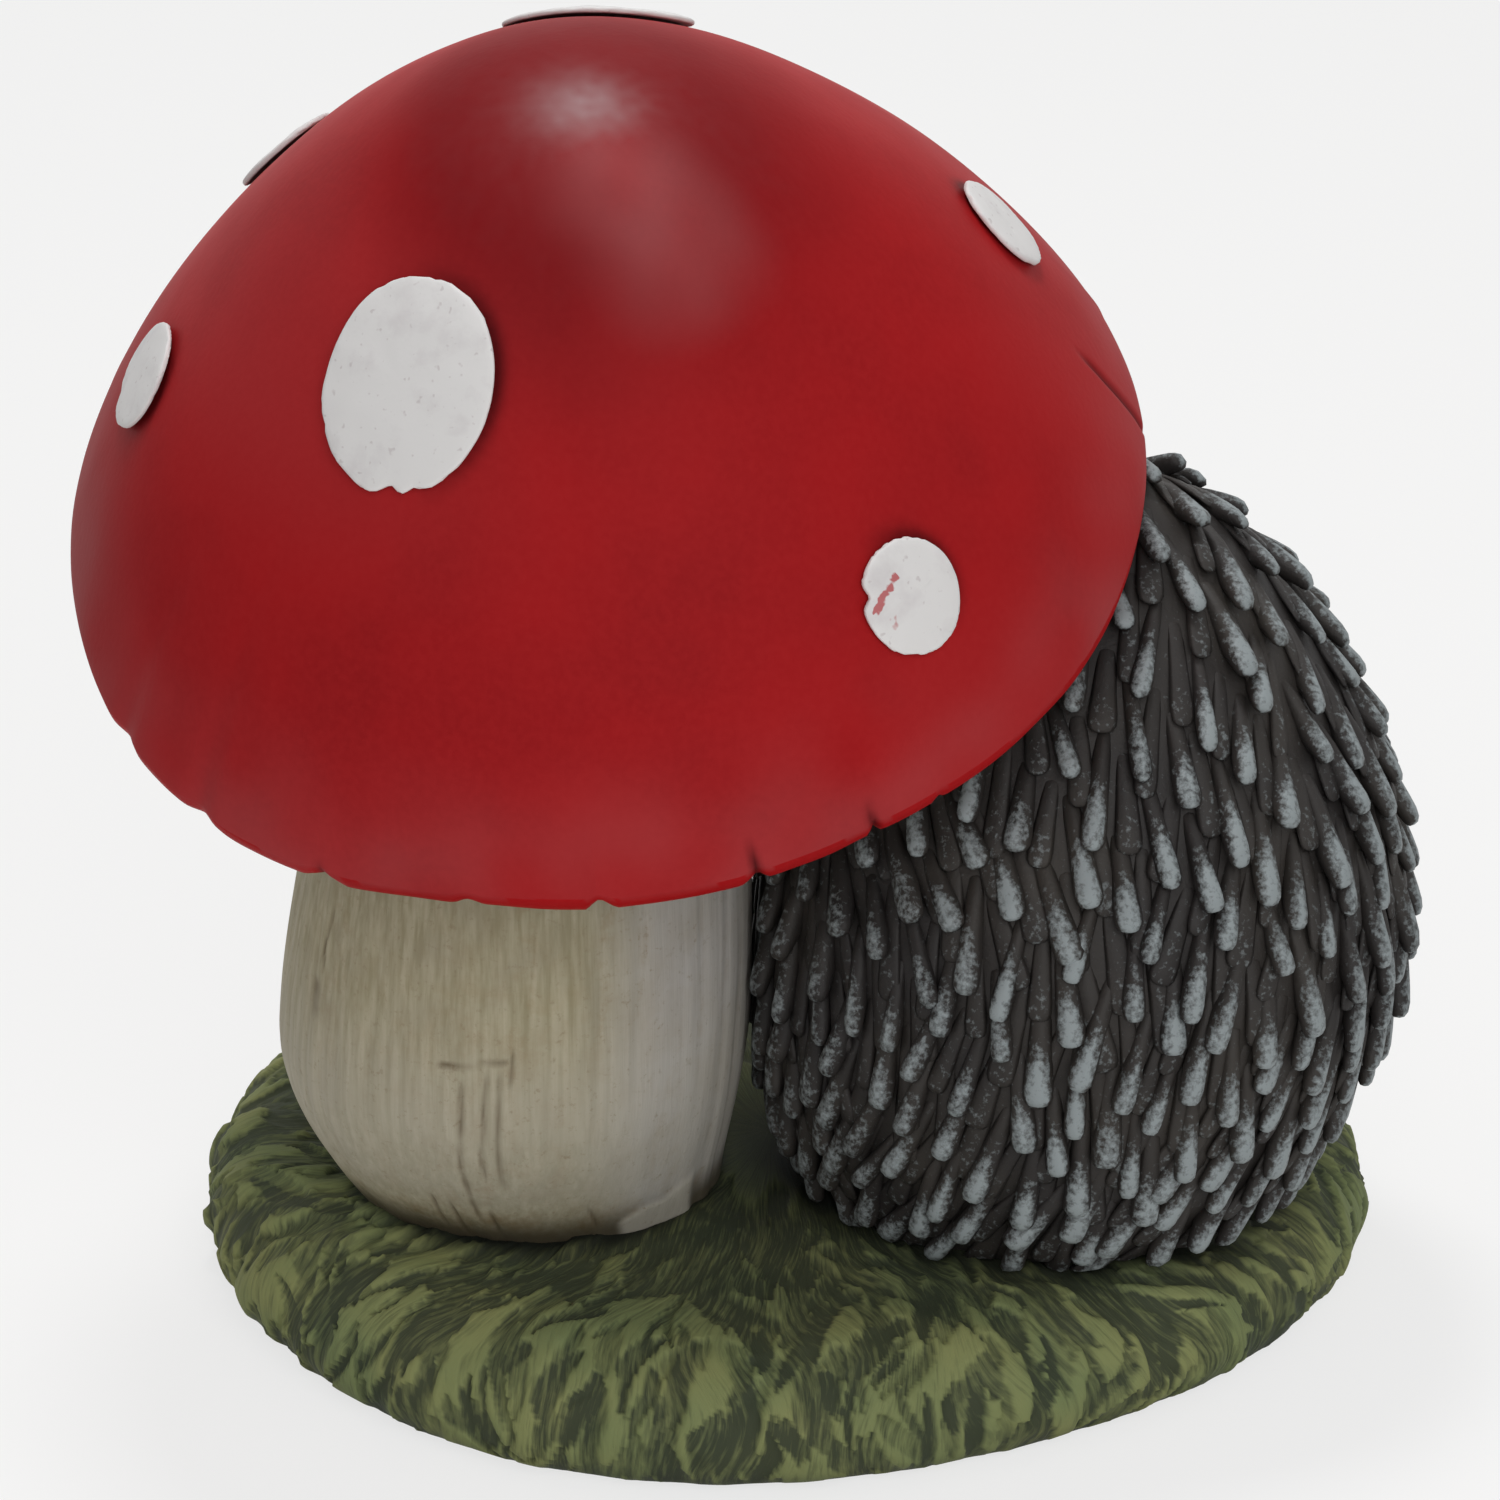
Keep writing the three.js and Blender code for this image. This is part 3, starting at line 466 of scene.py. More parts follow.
def brushed_grass():
    material, tree, shader, coords = new_paint("dry_brushed_grass_resin", 0.75, shine=0.2)
    comb = add_node(tree, "ShaderNodeAttribute", attribute_name="comb").outputs["Vector"]
    strand, frayed = patches(
        tree, comb, STRAND_WIDTH, 0.3, 0.7, least=-0.4, most=0.4, detail=3, roughness=0.6)
    raised = dry_brush(tree, "tuft", frayed, 0.1, 1)
    _, hues = patches(tree, coords, 13, 0.35, 0.65)
    dark = coats(tree, paint("#3a4131"), [(hues, "#464b37")])
    olive = coats(tree, paint("#7b865a"), [(hues, "#8d915f")])
    # The last coat is painted shadow.
    colour = coats(tree, dark, [(raised, olive), ("painted_shadow", "#13160f")])
    dress(tree, shader, colour, strand, depth=0.3, strength=0.7)
    return material


# %% [markdown]
# ## Spine paint
# The coat is a brown so dark that it looks black, brown where it is worn. A grey is dry-brushed on the free
# end of each spine and leaves a mottled drop there. Each spine carries the mark of where the brush touches.

# %% Dry-brushed spine paint
def brushed_spines():
    material, tree, shader, coords = new_paint("dry_brushed_spine_resin", 0.6, shine=0.3)
    _, worn = patches(tree, coords, 16, 0.4, 0.7, detail=3)
    mottle, frayed = patches(tree, coords, 0.7, 0.3, 0.7, least=-0.34, most=0.34, detail=3, roughness=0.65)
    grey = dry_brush(tree, "brush", frayed, 0.25, 0.85)
    colour = coats(tree, paint("#252221"), [(worn, "#35312d"), (grey, "#929a9c")])
    dress(tree, shader, colour, mottle, depth=0.15, strength=0.6)
    return material


# %% [markdown]
# ## Fur paint and black enamel
# The soft parts are carved as short fur and painted tan or pale tan, with a brown wash in the grooves and a
# dark mask round the eyes and the muzzle. The nose and the eyes have a gloss black enamel, which is smooth,
# so they catch a small sharp light.

# %% Washed fur paint and gloss enamel
def washed_fur(name, groove, crest):
    material, tree, shader, coords = new_paint(name, 0.68)
    hair, frayed = patches(tree, coords, 0.8, 0.3, 0.7, least=-0.15, most=0.15, detail=3, roughness=0.6)
    raised = dry_brush(tree, "tuft", frayed, 0.25, 0.8)
    colour = coats(tree, paint(groove), [(raised, crest), ("mask", "#3f3026")])
    dress(tree, shader, colour, hair, depth=0.2, strength=0.6)
    return material


def gloss_black():
    material, tree, shader, coords = new_paint("gloss_black_enamel", 0.12, shine=0.25)
    flow, gloss = patches(tree, coords, 1.6, 0.3, 0.7, least=0.08, most=0.2)
    tree.links.new(coats(tree, paint("#0b0a0c"), [(flow, "#171413")]), shader.inputs["Base Color"])
    tree.links.new(gloss, shader.inputs["Roughness"])
    return material


RED, WHITE, CREAM = satin_red(), matt_white(), streaked_cream()
GRASS, SPINES, ENAMEL = brushed_grass(), brushed_spines(), gloss_black()
TAN_FUR = washed_fur("tan_fur_painted_resin", "#634b35", "#ac8e69")
PALE_FUR = washed_fur("pale_fur_painted_resin", "#87724f", "#c9b38f")
print("finishes:", len(bpy.data.materials))

# %% [markdown]
# ## Grass base
# The mound starts as a ball with many columns. Each of its points is set on the mound's section: flat under
# the ground, round at the edge and level on top. Broad tufts run up the edge, as in the construction model.
# Then come many short cuts, as a carver makes grass with a gouge: each is a curved hollow that falls
# outwards, and what is left between the cuts are wavy ridges. The light paint is dry-brushed on the ridges.

# %% Mound and broad tufts
BASE_COLUMNS, BASE_ROWS = 760, 124
SECTION_STOPS = [0, 0.06, 0.2, 0.62, 1]


def base_reach(turn):
    """Half width of the mound in each direction."""
    oval = (BASE_WIDTH + BASE_DEPTH) / 4 + (BASE_WIDTH - BASE_DEPTH) / 4 * np.cos(2 * turn)
    lobes = BASE_LOBE * np.cos(3 * (turn - BASE_LOBE_TURN * DEGREE))
    to_feet = np.maximum(0, np.cos(turn - BASE_FAR_TURN * DEGREE)) ** 4
    return oval + lobes + BASE_FAR_SWELL * to_feet


def base_section(along):
    """Inset, height, share of the reach, rise up the shoulder and share of relief, from below to the top."""
    part = np.clip(np.searchsorted(SECTION_STOPS, along, side="right") - 1, 0, 3)
    share = (along - np.take(SECTION_STOPS, part)) / np.take(np.diff(SECTION_STOPS), part)
    swing = share * math.pi / 2
    crown = BASE_THICKNESS - BASE_BULGE_HEIGHT
    flat = 0 * share
    inset = np.choose(part, [flat + BASE_TUCK, BASE_TUCK * (1 - np.sin(swing)),
                             BASE_SHOULDER * (1 - np.cos(swing)), flat + BASE_SHOULDER])
    height = np.choose(part, [flat, BASE_BULGE_HEIGHT * (1 - np.cos(swing)),
                              BASE_BULGE_HEIGHT + crown * np.sin(swing), flat + BASE_THICKNESS])
    level = np.choose(part, [share, flat + 1, flat + 1, 1 - share])
    rise = np.choose(part, [flat, flat, share, flat + 1])
    relief = np.choose(part, [flat, share, np.clip(4 * (1 - share), 0, 1), flat])
    return inset, height, level, rise, relief


def broad_tufts(turn, rise):
    """Height of the tufts of the construction model, smooth between crest and dip."""
    lines = np.arange(2 * TUFT_COUNT + 1)
    uneven = 0.18 * np.sin(2.4 * lines) + 0.6 * np.sin(0.5 * lines)
    turns = math.pi * (lines + uneven * np.sin(math.pi * lines / (2 * TUFT_COUNT))) / TUFT_COUNT
    heights = np.where(lines % 2, 0, TUFT_HEIGHT * (0.8 + 0.3 * np.sin(1.9 * lines)))
    heights[-1] = heights[0]
    line = np.interp(turn % (2 * math.pi), turns, lines)
    slant = TUFT_SLANT * DEGREE * rise * np.sin(2 * math.pi * line / TUFT_COUNT + 1)
    line = np.interp((turn - slant) % (2 * math.pi), turns, lines)
    below = np.minimum(line.astype(int), 2 * TUFT_COUNT - 1)
    step = ramp(line - below, 0, 1)
    return heights[below] * (1 - step) + heights[below + 1] * step


# %% Cuts of the gouge
CUTS = 1900
CUT_LENGTH, CUT_WIDTH, CUT_DEPTH = 9, 1.2, 0.85
CUT_CURL, CUT_WAVE = 0.06, 0.9
FIRST_CUT, LAST_CUT = 18, 76
SWIRL_SIZE, SWIRL_TURN, SWIRL_JITTER = 15, 1.4, 0.3
MOUND_RADIUS = 60


def gouge_grass(turn, run):
    """Height and dry-brush paint that the gouge leaves, at a turn and a distance down the mound."""
    dice = np.random.default_rng(7)
    height = np.ones(len(turn))
    brushed = np.ones(len(turn))
    full = 2 * math.pi
    rings = np.concatenate([turn - full, turn, turn + full])
    order = np.argsort(rings)
    rings, owner = rings[order], order % len(turn)
    for _ in range(CUTS):
        at_turn, at_run = dice.uniform(-math.pi, math.pi), dice.uniform(FIRST_CUT, LAST_CUT)
        length = CUT_LENGTH * dice.uniform(0.5, 1.5)
        width = CUT_WIDTH * dice.uniform(0.5, 1.4)
        curl, wave = dice.uniform(-CUT_CURL, CUT_CURL), dice.uniform(-CUT_WAVE, CUT_WAVE)
        depth, wiped = dice.uniform(0.5, 1), dice.uniform(0.35, 1)
        place = Vector((MOUND_RADIUS * math.cos(at_turn), MOUND_RADIUS * math.sin(at_turn), at_run))
        lie = SWIRL_TURN * noise.noise(place / SWIRL_SIZE) + dice.uniform(-SWIRL_JITTER, SWIRL_JITTER)
        round_at = min(at_run, MOUND_RADIUS)
        first, last = np.searchsorted(rings, [at_turn - length / round_at, at_turn + length / round_at])
        near = owner[first:last]
        across = (rings[first:last] - at_turn) * round_at
        down = run[near] - at_run
        u = down * math.cos(lie) + across * math.sin(lie)
        v = across * math.cos(lie) - down * math.sin(lie) - curl * u * u - wave * np.sin(5 * u / length)
        share = np.clip(u / length + 0.5, 0, 1)
        half = width * np.sin(math.pi * share ** 0.8) ** 0.7 + 1e-6
        scoop = np.clip(1 - (v / half) ** 2, 0, 1) * (share > 0) * (share < 1)
        height[near] = np.minimum(height[near], 1 - depth * np.sqrt(scoop))
        brushed[near] = np.minimum(brushed[near], 1 - wiped * ramp(scoop, 0, 0.45))
    return height, brushed


# %% Carve the grass
CUT_LEVEL = 0.6
# Share of the light paint left on the flat top, as painted shade, and where it fades in towards the edge.
SHADED_TOP_PAINT, PAINT_FADES_FROM, PAINT_FULL_AT = 0.58, 38, 52
COLLAR_HEIGHT, COLLAR_WIDTH = 0.9, 4
BODY_FOOT_RADIUS = 26
COMB_RADIUS, COMB_WAVE, COMB_WAVE_SIZE = 58, 0.12, 17


def run_down(along):
    """Distance down the mound from the middle of its top, along its section."""
    table = np.linspace(0, 1, 400)
    inset, height, level, _, _ = base_section(table)
    line = np.column_stack([(MOUND_RADIUS - inset) * level, height])
    travelled = np.concatenate([[0], np.cumsum(np.linalg.norm(np.diff(line, axis=0), axis=1))])
    return travelled[-1] - np.interp(along, table, travelled)


def carve_base():
    base = add_ball("carved_grass_base", BASE_COLUMNS, BASE_ROWS)
    ball = points_of(base)
    along = 1 - np.arccos(np.clip(ball[:, 2], -1, 1)) / math.pi
    turn = np.arctan2(ball[:, 1], ball[:, 0])
    inset, height, level, rise, relief = base_section(along)
    run = run_down(along)
    carved, brushed = gouge_grass(turn, run)
    # Less light paint on the flat top: painted shade under the cap and the hedgehog.
    brushed *= SHADED_TOP_PAINT + (1 - SHADED_TOP_PAINT) * ramp(run, PAINT_FADES_FROM, PAINT_FULL_AT)

    tuft = broad_tufts(turn, rise) * relief
    skirt = ramp(height, 0.2, 2.5)
    lift = skirt * CUT_DEPTH * (carved - CUT_LEVEL)
    steep = np.where(rise < 1, np.cos(rise * math.pi / 2), 0)
    reach = (base_reach(turn) - inset) * level + tuft + lift * steep
    z = height + rise * tuft + lift * np.where(rise > 0, np.sin(rise * math.pi / 2), 0)
    points = np.column_stack([reach * np.cos(turn), reach * np.sin(turn), np.maximum(z, 0)])
    stem_foot = stem_place[:2] + [STEM_FOOT_SHIFT, 0]
    body_foot = body_place[:2] - [BODY_SWAY, BODY_RUMP]
    to_stem = np.linalg.norm(points[:, :2] - stem_foot, axis=1) - STEM_FOOT_RADIUS - 1
    to_body = np.linalg.norm(points[:, :2] - body_foot, axis=1) - BODY_FOOT_RADIUS
    for gap in (to_stem, to_body):
        collar = (1 - ramp(gap, 0.2, COLLAR_WIDTH)) * ramp(gap, -3, -1)
        points[:, 2] += COLLAR_HEIGHT * np.where(rise == 1, collar, 0)
    move_points(base, points)

    # Painted shadow: dark round the stem and the hedgehog, between them, and along the bottom edge of the
    # mound.
    between = (1 - ramp(to_stem, 4, 22)) * (1 - ramp(to_body, 4, 20))
    painted_shadow = np.maximum(1 - ramp(to_stem, 0, 4), 1 - ramp(to_body, 0, 8)) + between
    painted_shadow += 0.45 * (1 - ramp(points[:, 2], 0.5, 4))
    mark(base, "tuft", brushed)
    mark(base, "painted_shadow", np.clip(painted_shadow, 0, 1))
    bend = turn + COMB_WAVE * lumps(points, COMB_WAVE_SIZE, 21)
    comb = np.column_stack([np.cos(bend) * COMB_RADIUS, np.sin(bend) * COMB_RADIUS,
                            run * STRAND_WIDTH / STRAND_LENGTH]) * MM
    base.data.attributes.new("comb", "FLOAT_VECTOR", "POINT").data.foreach_set("vector", comb.ravel())
    hand_over(base, "grass_base", GRASS)


carve_base()

# %% [markdown]
# ## Stem
# The stem is a barrel: a half profile is spun round the axis and the result is pushed over so that it leans.
# It runs on into the gills, because the cap is tilted and stands away from it on one side.
# Shallow grooves run up it like the grain of wood, there is a cross-shaped crack low on the side that is
# seen, and a small slit. The grooves are moved points; the finest streaks are left to the paint.

# %% Cracks of the stem
STEM_COLUMNS, STEM_ROWS = 480, 130
STEM_NECK_REACH = 9
GRAIN_WIDTH, GRAIN_LENGTH, GRAIN_DEPTH = 2.2, 40, 0.28
DENT_SIZE, DENT_DEPTH = 16, 0.35
CRACK_DEPTH, CHALK_HEIGHT = 0.4, 0.25
# Each crack has a turn in degrees, the heights where it starts and ends, and a half width.
STEM_CRACKS = [
    (258, 4, 25, 0.32), (264, 12, 26, 0.22), (268, 11, 26, 0.32), (270, 25, 29, 0.26), (212, 28, 32, 0.8),
    (246, 2, 8, 0.28), (251, 1, 7, 0.28), (262, 2, 6, 0.24), (290, 2, 6, 0.22), (214, 34, 41, 0.2)]
# The cross crack has a first and last turn, a height and a half width.
CROSS_CRACK = (252, 269, 27, 0.26)


def stem_radius(z):
    swell = np.sin(math.pi / 2 * np.minimum(z / STEM_BULGE_HEIGHT, 1))
    low = STEM_FOOT_RADIUS + (STEM_RADIUS - STEM_FOOT_RADIUS) * swell
    rise = np.clip((z - STEM_BULGE_HEIGHT) / (stem_length - STEM_BULGE_HEIGHT), 0, 1)
    high = STEM_NECK_RADIUS + (STEM_RADIUS - STEM_NECK_RADIUS) * (1 + np.cos(math.pi * rise)) / 2
    return np.where(z < STEM_BULGE_HEIGHT, low, high)


def stem_cracks(turn, z, radius, wheel):
    """1 in the cracks of the stem, less where they are broken off, and 0 beside them."""
    crack = np.zeros(len(z))
    for centre, low, high, half_width in STEM_CRACKS:
        wander = centre + 1.5 * wavering(z, 5, centre)
        length = ramp(z, low - 1, low + 1) * (1 - ramp(z, high - 1, high + 1))
        crack = np.maximum(crack, length * stripe(turn, wander, half_width, radius))
    start, end, level, half_width = CROSS_CRACK
    degrees = np.degrees(turn) % 360
    across = ramp(degrees, start - 1, start + 1) * (1 - ramp(degrees, end - 1, end + 1))
    crack = np.maximum(crack, across * np.exp(-((z - level - 0.05 * (degrees - start)) / half_width) ** 2))
    broken = 0.65 + 0.6 * lumps(np.column_stack([wheel, z]), 3, 19)
    return crack * np.clip(broken, 0.35, 1)


# %% Carve and mark the stem
# The patch of chalky paint has a first and last turn and a height; the side with the painted cool light has
# three turns.
CHALK_PATCH = (296, 330, 2.2)
PAINTED_LIGHT_SIDE = (282, 312, 352)
# The stained spot has a turn, a height and a size.
STAINED_SPOT = (268, 12, 2.6)
STAINED_SIDE = 266
FOOT_SHADE_HEIGHT = 6.5


def mark_stem(stem, turn, z, grain, crack, chalk):
    facing = 0.5 + 0.5 * np.cos(turn - STAINED_SIDE * DEGREE)
    low_part = ramp(z, 2, 10) * (1 - ramp(z, 18, 36))
    stained_turn, stained_height, stained_size = STAINED_SPOT
    from_spot = np.hypot(z - stained_height, turn_apart(turn, stained_turn) * STEM_RADIUS)
    stain = 0.8 * np.exp(-(from_spot / stained_size) ** 2) + 0.16 * low_part * facing ** 40
    stain += 0.22 * facing ** 4 * (1 - ramp(z, 30, 60)) + 0.55 * (1 - ramp(z, 1, 8)) * facing ** 2
    light_from, light_full, light_to = PAINTED_LIGHT_SIDE
    degrees = np.degrees(turn) % 360
    painted_cool_light = ramp(degrees, light_from, light_full) * (1 - ramp(degrees, light_to, light_to + 30))
    mark(stem, "stain", np.clip(stain + 0.2 * (grain < -0.25), 0, 1))
    mark(stem, "crack", np.clip(0.85 * crack, 0, 1))
    mark(stem, "chalk", np.maximum(0.85 * chalk, 0.42 * low_part))
    # Painted cool light on the side towards the hedgehog.
    mark(stem, "painted_cool_light", 0.8 * painted_cool_light)
    # Painted shade at the foot, where the stem meets the grass, less on the chalky patch.
    mark(stem, "painted_foot_shade", 0.95 * (1 - ramp(z, 1, FOOT_SHADE_HEIGHT)) * (1 - 0.8 * chalk))


def carve_stem():
    heights = stem_length * np.linspace(0, 1, STEM_ROWS) ** 1.15
    neck_top = stem_length + STEM_NECK_REACH
    neck = [(STEM_NECK_RADIUS, neck_top), (0, neck_top)]
    profile = [(0, 0)] + list(zip(stem_radius(heights), heights)) + neck
    stem = spin_profile("carved_stem", profile, STEM_COLUMNS)
    points = points_of(stem)
    radius = np.hypot(points[:, 0], points[:, 1])
    turn = np.arctan2(points[:, 1], points[:, 0])
    z = points[:, 2]
    wheel = np.stack([np.cos(turn), np.sin(turn)], 1) * STEM_RADIUS
    grain = lumps(np.column_stack([wheel, z * GRAIN_WIDTH / GRAIN_LENGTH]), GRAIN_WIDTH, 5)
    dents = lumps(np.column_stack([wheel, z]), DENT_SIZE, 6)
    crack = stem_cracks(turn, z, radius, wheel)
    start, end, top = CHALK_PATCH
    degrees = np.degrees(turn) % 360
    ragged = top + 0.12 * (degrees - start) + 1.6 * lumps(np.column_stack([wheel, 0 * z]), 4, 20)
    chalk = ramp(degrees, start, start + 4) * (1 - ramp(degrees, end - 6, end))
    chalk *= 1 - ramp(z, ragged - 0.8, ragged)
    depth = DENT_DEPTH * dents + GRAIN_DEPTH * np.minimum(grain, 0.2) - CRACK_DEPTH * crack
    depth += CHALK_HEIGHT * chalk
    depth *= ramp(radius, 8, 14)
    points[:, :2] *= (1 + depth / np.maximum(radius, 1))[:, None]
    foot = np.maximum(0, 1 - z / STEM_BULGE_HEIGHT) ** 2
    points[:, 0] *= 1 + STEM_FOOT_WIDENING * foot / stem_radius(z)
    points[:, 0] += lean * z + STEM_FOOT_SHIFT * foot
    move_points(stem, points + stem_place)
    mark_stem(stem, turn, z, grain, crack, chalk)
    hand_over(stem, "mushroom_stem", CREAM)


carve_stem()

# %% [markdown]
# ## Cap
# The cap is one profile, spun: up the hollow underneath, round the lip and over the crown. A casting is
# never a perfect turning, so the form is given slow dents, a flare low on the left, two folds in the rim,
# and small splits where the edge has chipped. The spots later follow the same dents.

# %% Where the spots sit
SPOT_THICKNESS = 1
LARGE_SPOT, MIDDLE_SPOT, SMALL_SPOT = 10.9, 8.2, 6.4
# Each spot has a turn in degrees, a share of the way out to the rim, a size, and shares of it across and up.
SPOTS = [
    ("spot_front_large", 235, 0.5, LARGE_SPOT, 0.93, 1.1),
    ("spot_front_right", 311, 0.835, SMALL_SPOT, 0.95, 1.05),
    ("spot_left", 178.5, 0.795, SMALL_SPOT, 0.95, 1),
    ("spot_left_upper", 134, 0.78, SMALL_SPOT, 1, 1),
    ("spot_apex", 84, 0.6, LARGE_SPOT, 1, 0.95),
    ("spot_right_upper", 16, 0.8, SMALL_SPOT, 0.9, 1),
    ("spot_far_large", 90, 0.94, MIDDLE_SPOT, 1, 1),
    ("spot_far_left", 118, 0.93, SMALL_SPOT, 1, 1),
    ("spot_far_right", 63, 0.94, SMALL_SPOT, 1, 1),
]
# The shadow painted beside each spot lies on the side at this turn, in degrees, and has this width.
SHADED_SIDE, SPOT_SHADOW_WIDTH = 25, 1.1


def crown_fall(share):
    """How far the crown has fallen from its rounded tip, before scaling."""
    return np.hypot(share, CAP_CROWN_ROUND) - CAP_CROWN_ROUND


def crown_height(share):
    fall = np.minimum(1, crown_fall(share) / crown_fall(1))
    return CAP_HEIGHT * (1 - fall ** CAP_CROWN) ** (1 / CAP_SHOULDER)


def spot_axes(turn_degrees, out):
    """The seat of a spot on the crown and the directions across, up and away from the cap there."""
    turn, step = turn_degrees * DEGREE, 1e-4
    slope = (crown_height(out + step) - crown_height(out - step)) / (2 * step * CAP_RADIUS)
    normal = np.array([-slope * math.cos(turn), -slope * math.sin(turn), 1]) / math.hypot(slope, 1)
    east = np.array([-math.sin(turn), math.cos(turn), 0])
    seat = np.array([CAP_RADIUS * out * math.cos(turn), CAP_RADIUS * out * math.sin(turn), crown_height(out)])
    return seat, east, np.cross(normal, east), normal


def painted_shadow_beside_spots(points):
    """1 in the shadow painted along one edge of each spot, on the side turned away from the light."""
    spot_shadow = np.zeros(len(points))
    for _, turn_degrees, out, size, across, upward in SPOTS:
        seat, east, north, normal = spot_axes(turn_degrees, out)
        side, rise = (points - seat) @ east / across, (points - seat) @ north / upward
        on_edge = np.exp(-((np.hypot(side, rise) - size) / SPOT_SHADOW_WIDTH) ** 2)
        shaded = np.clip(np.cos(np.arctan2(rise, side) - SHADED_SIDE * DEGREE), 0, 1)
        spot_shadow = np.maximum(spot_shadow, on_edge * shaded * (np.abs((points - seat) @ normal) < size / 2))
    return spot_shadow


# %% Dents, folds and splits
CAP_COLUMNS, CAP_ROWS, LIP_ROWS = 720, 84, 12
CAP_DENT, CAP_DENT_SIZE = 0.8, 34
CROWN_DENT, CROWN_DENT_SIZE = 0.5, 22
FLARE_TURN, FLARE_WIDTH, FLARE_REACH, FLARE_HEIGHT = 219, 26, 2.0, 15
# The folds have a turn, a half width, a depth and a height over which they fade.
RIM_FOLDS = [(209, 2.2, 0.7, 9), (222.5, 2, 0.8, 14)]
# The splits have a turn, a half width and a depth.
RIM_SPLITS = [
    (238.5, 2.4, 1.8), (254, 1.6, 1.2), (267.7, 1.5, 2.4), (284, 1.5, 1.6), (297.5, 0.9, 1.5),
    (305.5, 0.9, 1), (20, 1.2, 1.6), (65, 1.6, 1.4), (118, 1.3, 1.8), (160, 1.2, 1.3)]
# The ridge has a turn, a half width, a length and a height.
CROWN_RIDGE = (308, 6.5, 25, 0.8)
# The cracks have a turn and the heights where they start and end.
CAP_CRACKS = [(2, 0, 16), (284, -4, 5), (297.5, -4, 4), (238.5, -4, 2), (178, 31, 36), (118, -4, 6)]
CAP_CRACK_WIDTH, CAP_CRACK_DEPTH = 0.55, 0.45


def crown_ridge(turn, reach):
    """1 along the low ridge that runs down from the crown, 0 beside it."""
    centre, half_width, end, _ = CROWN_RIDGE
    apart = turn - centre * DEGREE
    along, across = reach * np.cos(apart), reach * np.sin(apart)
    return ramp(along, 0, 12) * (1 - ramp(along, end - 8, end + 6)) * np.exp(-(across / half_width) ** 2)


def dent_cap(points):
    """The slow dents, flare and folds of the casting, for points on or near the cap in its own frame."""
    points = np.array(points, float)
    turn = np.arctan2(points[:, 1], points[:, 0])
    z = points[:, 2]
    reach = np.hypot(points[:, 0], points[:, 1])
    swell = CAP_DENT * lumps(points, CAP_DENT_SIZE, 7)
    away = np.degrees(turn_apart(turn, FLARE_TURN))
    swell += FLARE_REACH * np.exp(-(away / FLARE_WIDTH) ** 2) * np.exp(-np.maximum(z, 0) / FLARE_HEIGHT)
    for centre, half_width, depth, height in RIM_FOLDS:
        swell -= depth * stripe(turn, centre, half_width, CAP_RADIUS) * np.exp(-np.maximum(z, 0) / height)
    grown = 1 + swell * ramp(reach, 2, 12) / np.maximum(reach, 1)
    points[:, 2] += CROWN_RIDGE[-1] * crown_ridge(turn, reach)
    points[:, :2] *= grown[:, None]
    points[:, 2] += CROWN_DENT * lumps(points, CROWN_DENT_SIZE, 8)
    return points


def to_figure(points):
    """Carry points from the frame of the cap into the frame of the ornament."""
    return points @ cap_turn.T + cap_place


# %% Carve and mark the cap
# The highlight painted on the crown has a place and a size.
PAINTED_HIGHLIGHT_PLACE, PAINTED_HIGHLIGHT_SIZE = (4, -1.5), (5, 4.6)
RIM_WAVE, RIM_WAVE_SIZE = 0.5, 7
# Strengths of the painted shade, the painted sheen band, the paler tone towards the lip and an even veil.
CAP_SHADE_LEVEL, PAINTED_SHEEN_BAND, RIM_PALING, VEIL = 0.72, 0.25, 0.12, 0.02


def mark_cap(cap, points, turn, reach, crack):
    """Where the red has painted shade, a painted highlight, sheen and light, a paler veil, and dark cracks
    that also hold the painted shadow beside the spots.
    """
    z = points[:, 2]
    share = reach / CAP_RADIUS
    ridge = crown_ridge(turn, reach)
    # A highlight is painted on the crown and a sheen along the ridge below it; a faint painted light lies on
    # the upper left and a paler tone towards the lip.
    to_painted_highlight = np.linalg.norm((points[:, :2] - PAINTED_HIGHLIGHT_PLACE) / PAINTED_HIGHLIGHT_SIZE, axis=1)
    crown = 0.62 * np.exp(-to_painted_highlight ** 2) + 0.14 * np.exp(-to_painted_highlight / 2.4)
    crown *= 0.95 + 0.35 * lumps(points, 1.6, 23)
    leftward = np.maximum(0, -np.cos(turn))
    veil_and_painted_side_light = VEIL + 0.05 * leftward * ramp(share, 0.25, 0.45) * (1 - ramp(share, 0.6, 0.8))
    veil_and_painted_side_light += RIM_PALING * (1 - ramp(z, -2, 18)) * (0.6 + 0.8 * lumps(points, 9, 22))
    painted_sheen = PAINTED_SHEEN_BAND * ridge ** 0.6 * (0.9 + 0.3 * lumps(points, 6, 24))
    # Painted shade round the crown, less of it along the ridge, and along the far left edge.
    painted_cap_shade = CAP_SHADE_LEVEL * (1 - ramp(share, 0.28 - 0.1 * leftward, 0.62 - 0.22 * leftward)) * (1 - 0.7 * ridge)
    painted_cap_shade += 0.4 * leftward ** 8 * ramp(share, 0.72, 0.95)
    painted_light_and_veil = np.clip(np.maximum(np.maximum(crown, painted_sheen), veil_and_painted_side_light), 0, 1)
    mark(cap, "painted_cap_shade", np.where(z > 0, painted_cap_shade, 0))
    mark(cap, "painted_light_and_veil", np.where(z > 0, painted_light_and_veil, 0))
    # The crack mark also carries the shadow painted along one edge of each spot.
    on_top = (z > CAP_RECESS + 1) | (reach > CAP_RADIUS - 2 * CAP_LIP)
    spot_shadow = np.where(on_top, painted_shadow_beside_spots(points), 0)
    mark(cap, "crack", np.clip(np.maximum(0.85 * crack, 0.8 * spot_shadow), 0, 1))


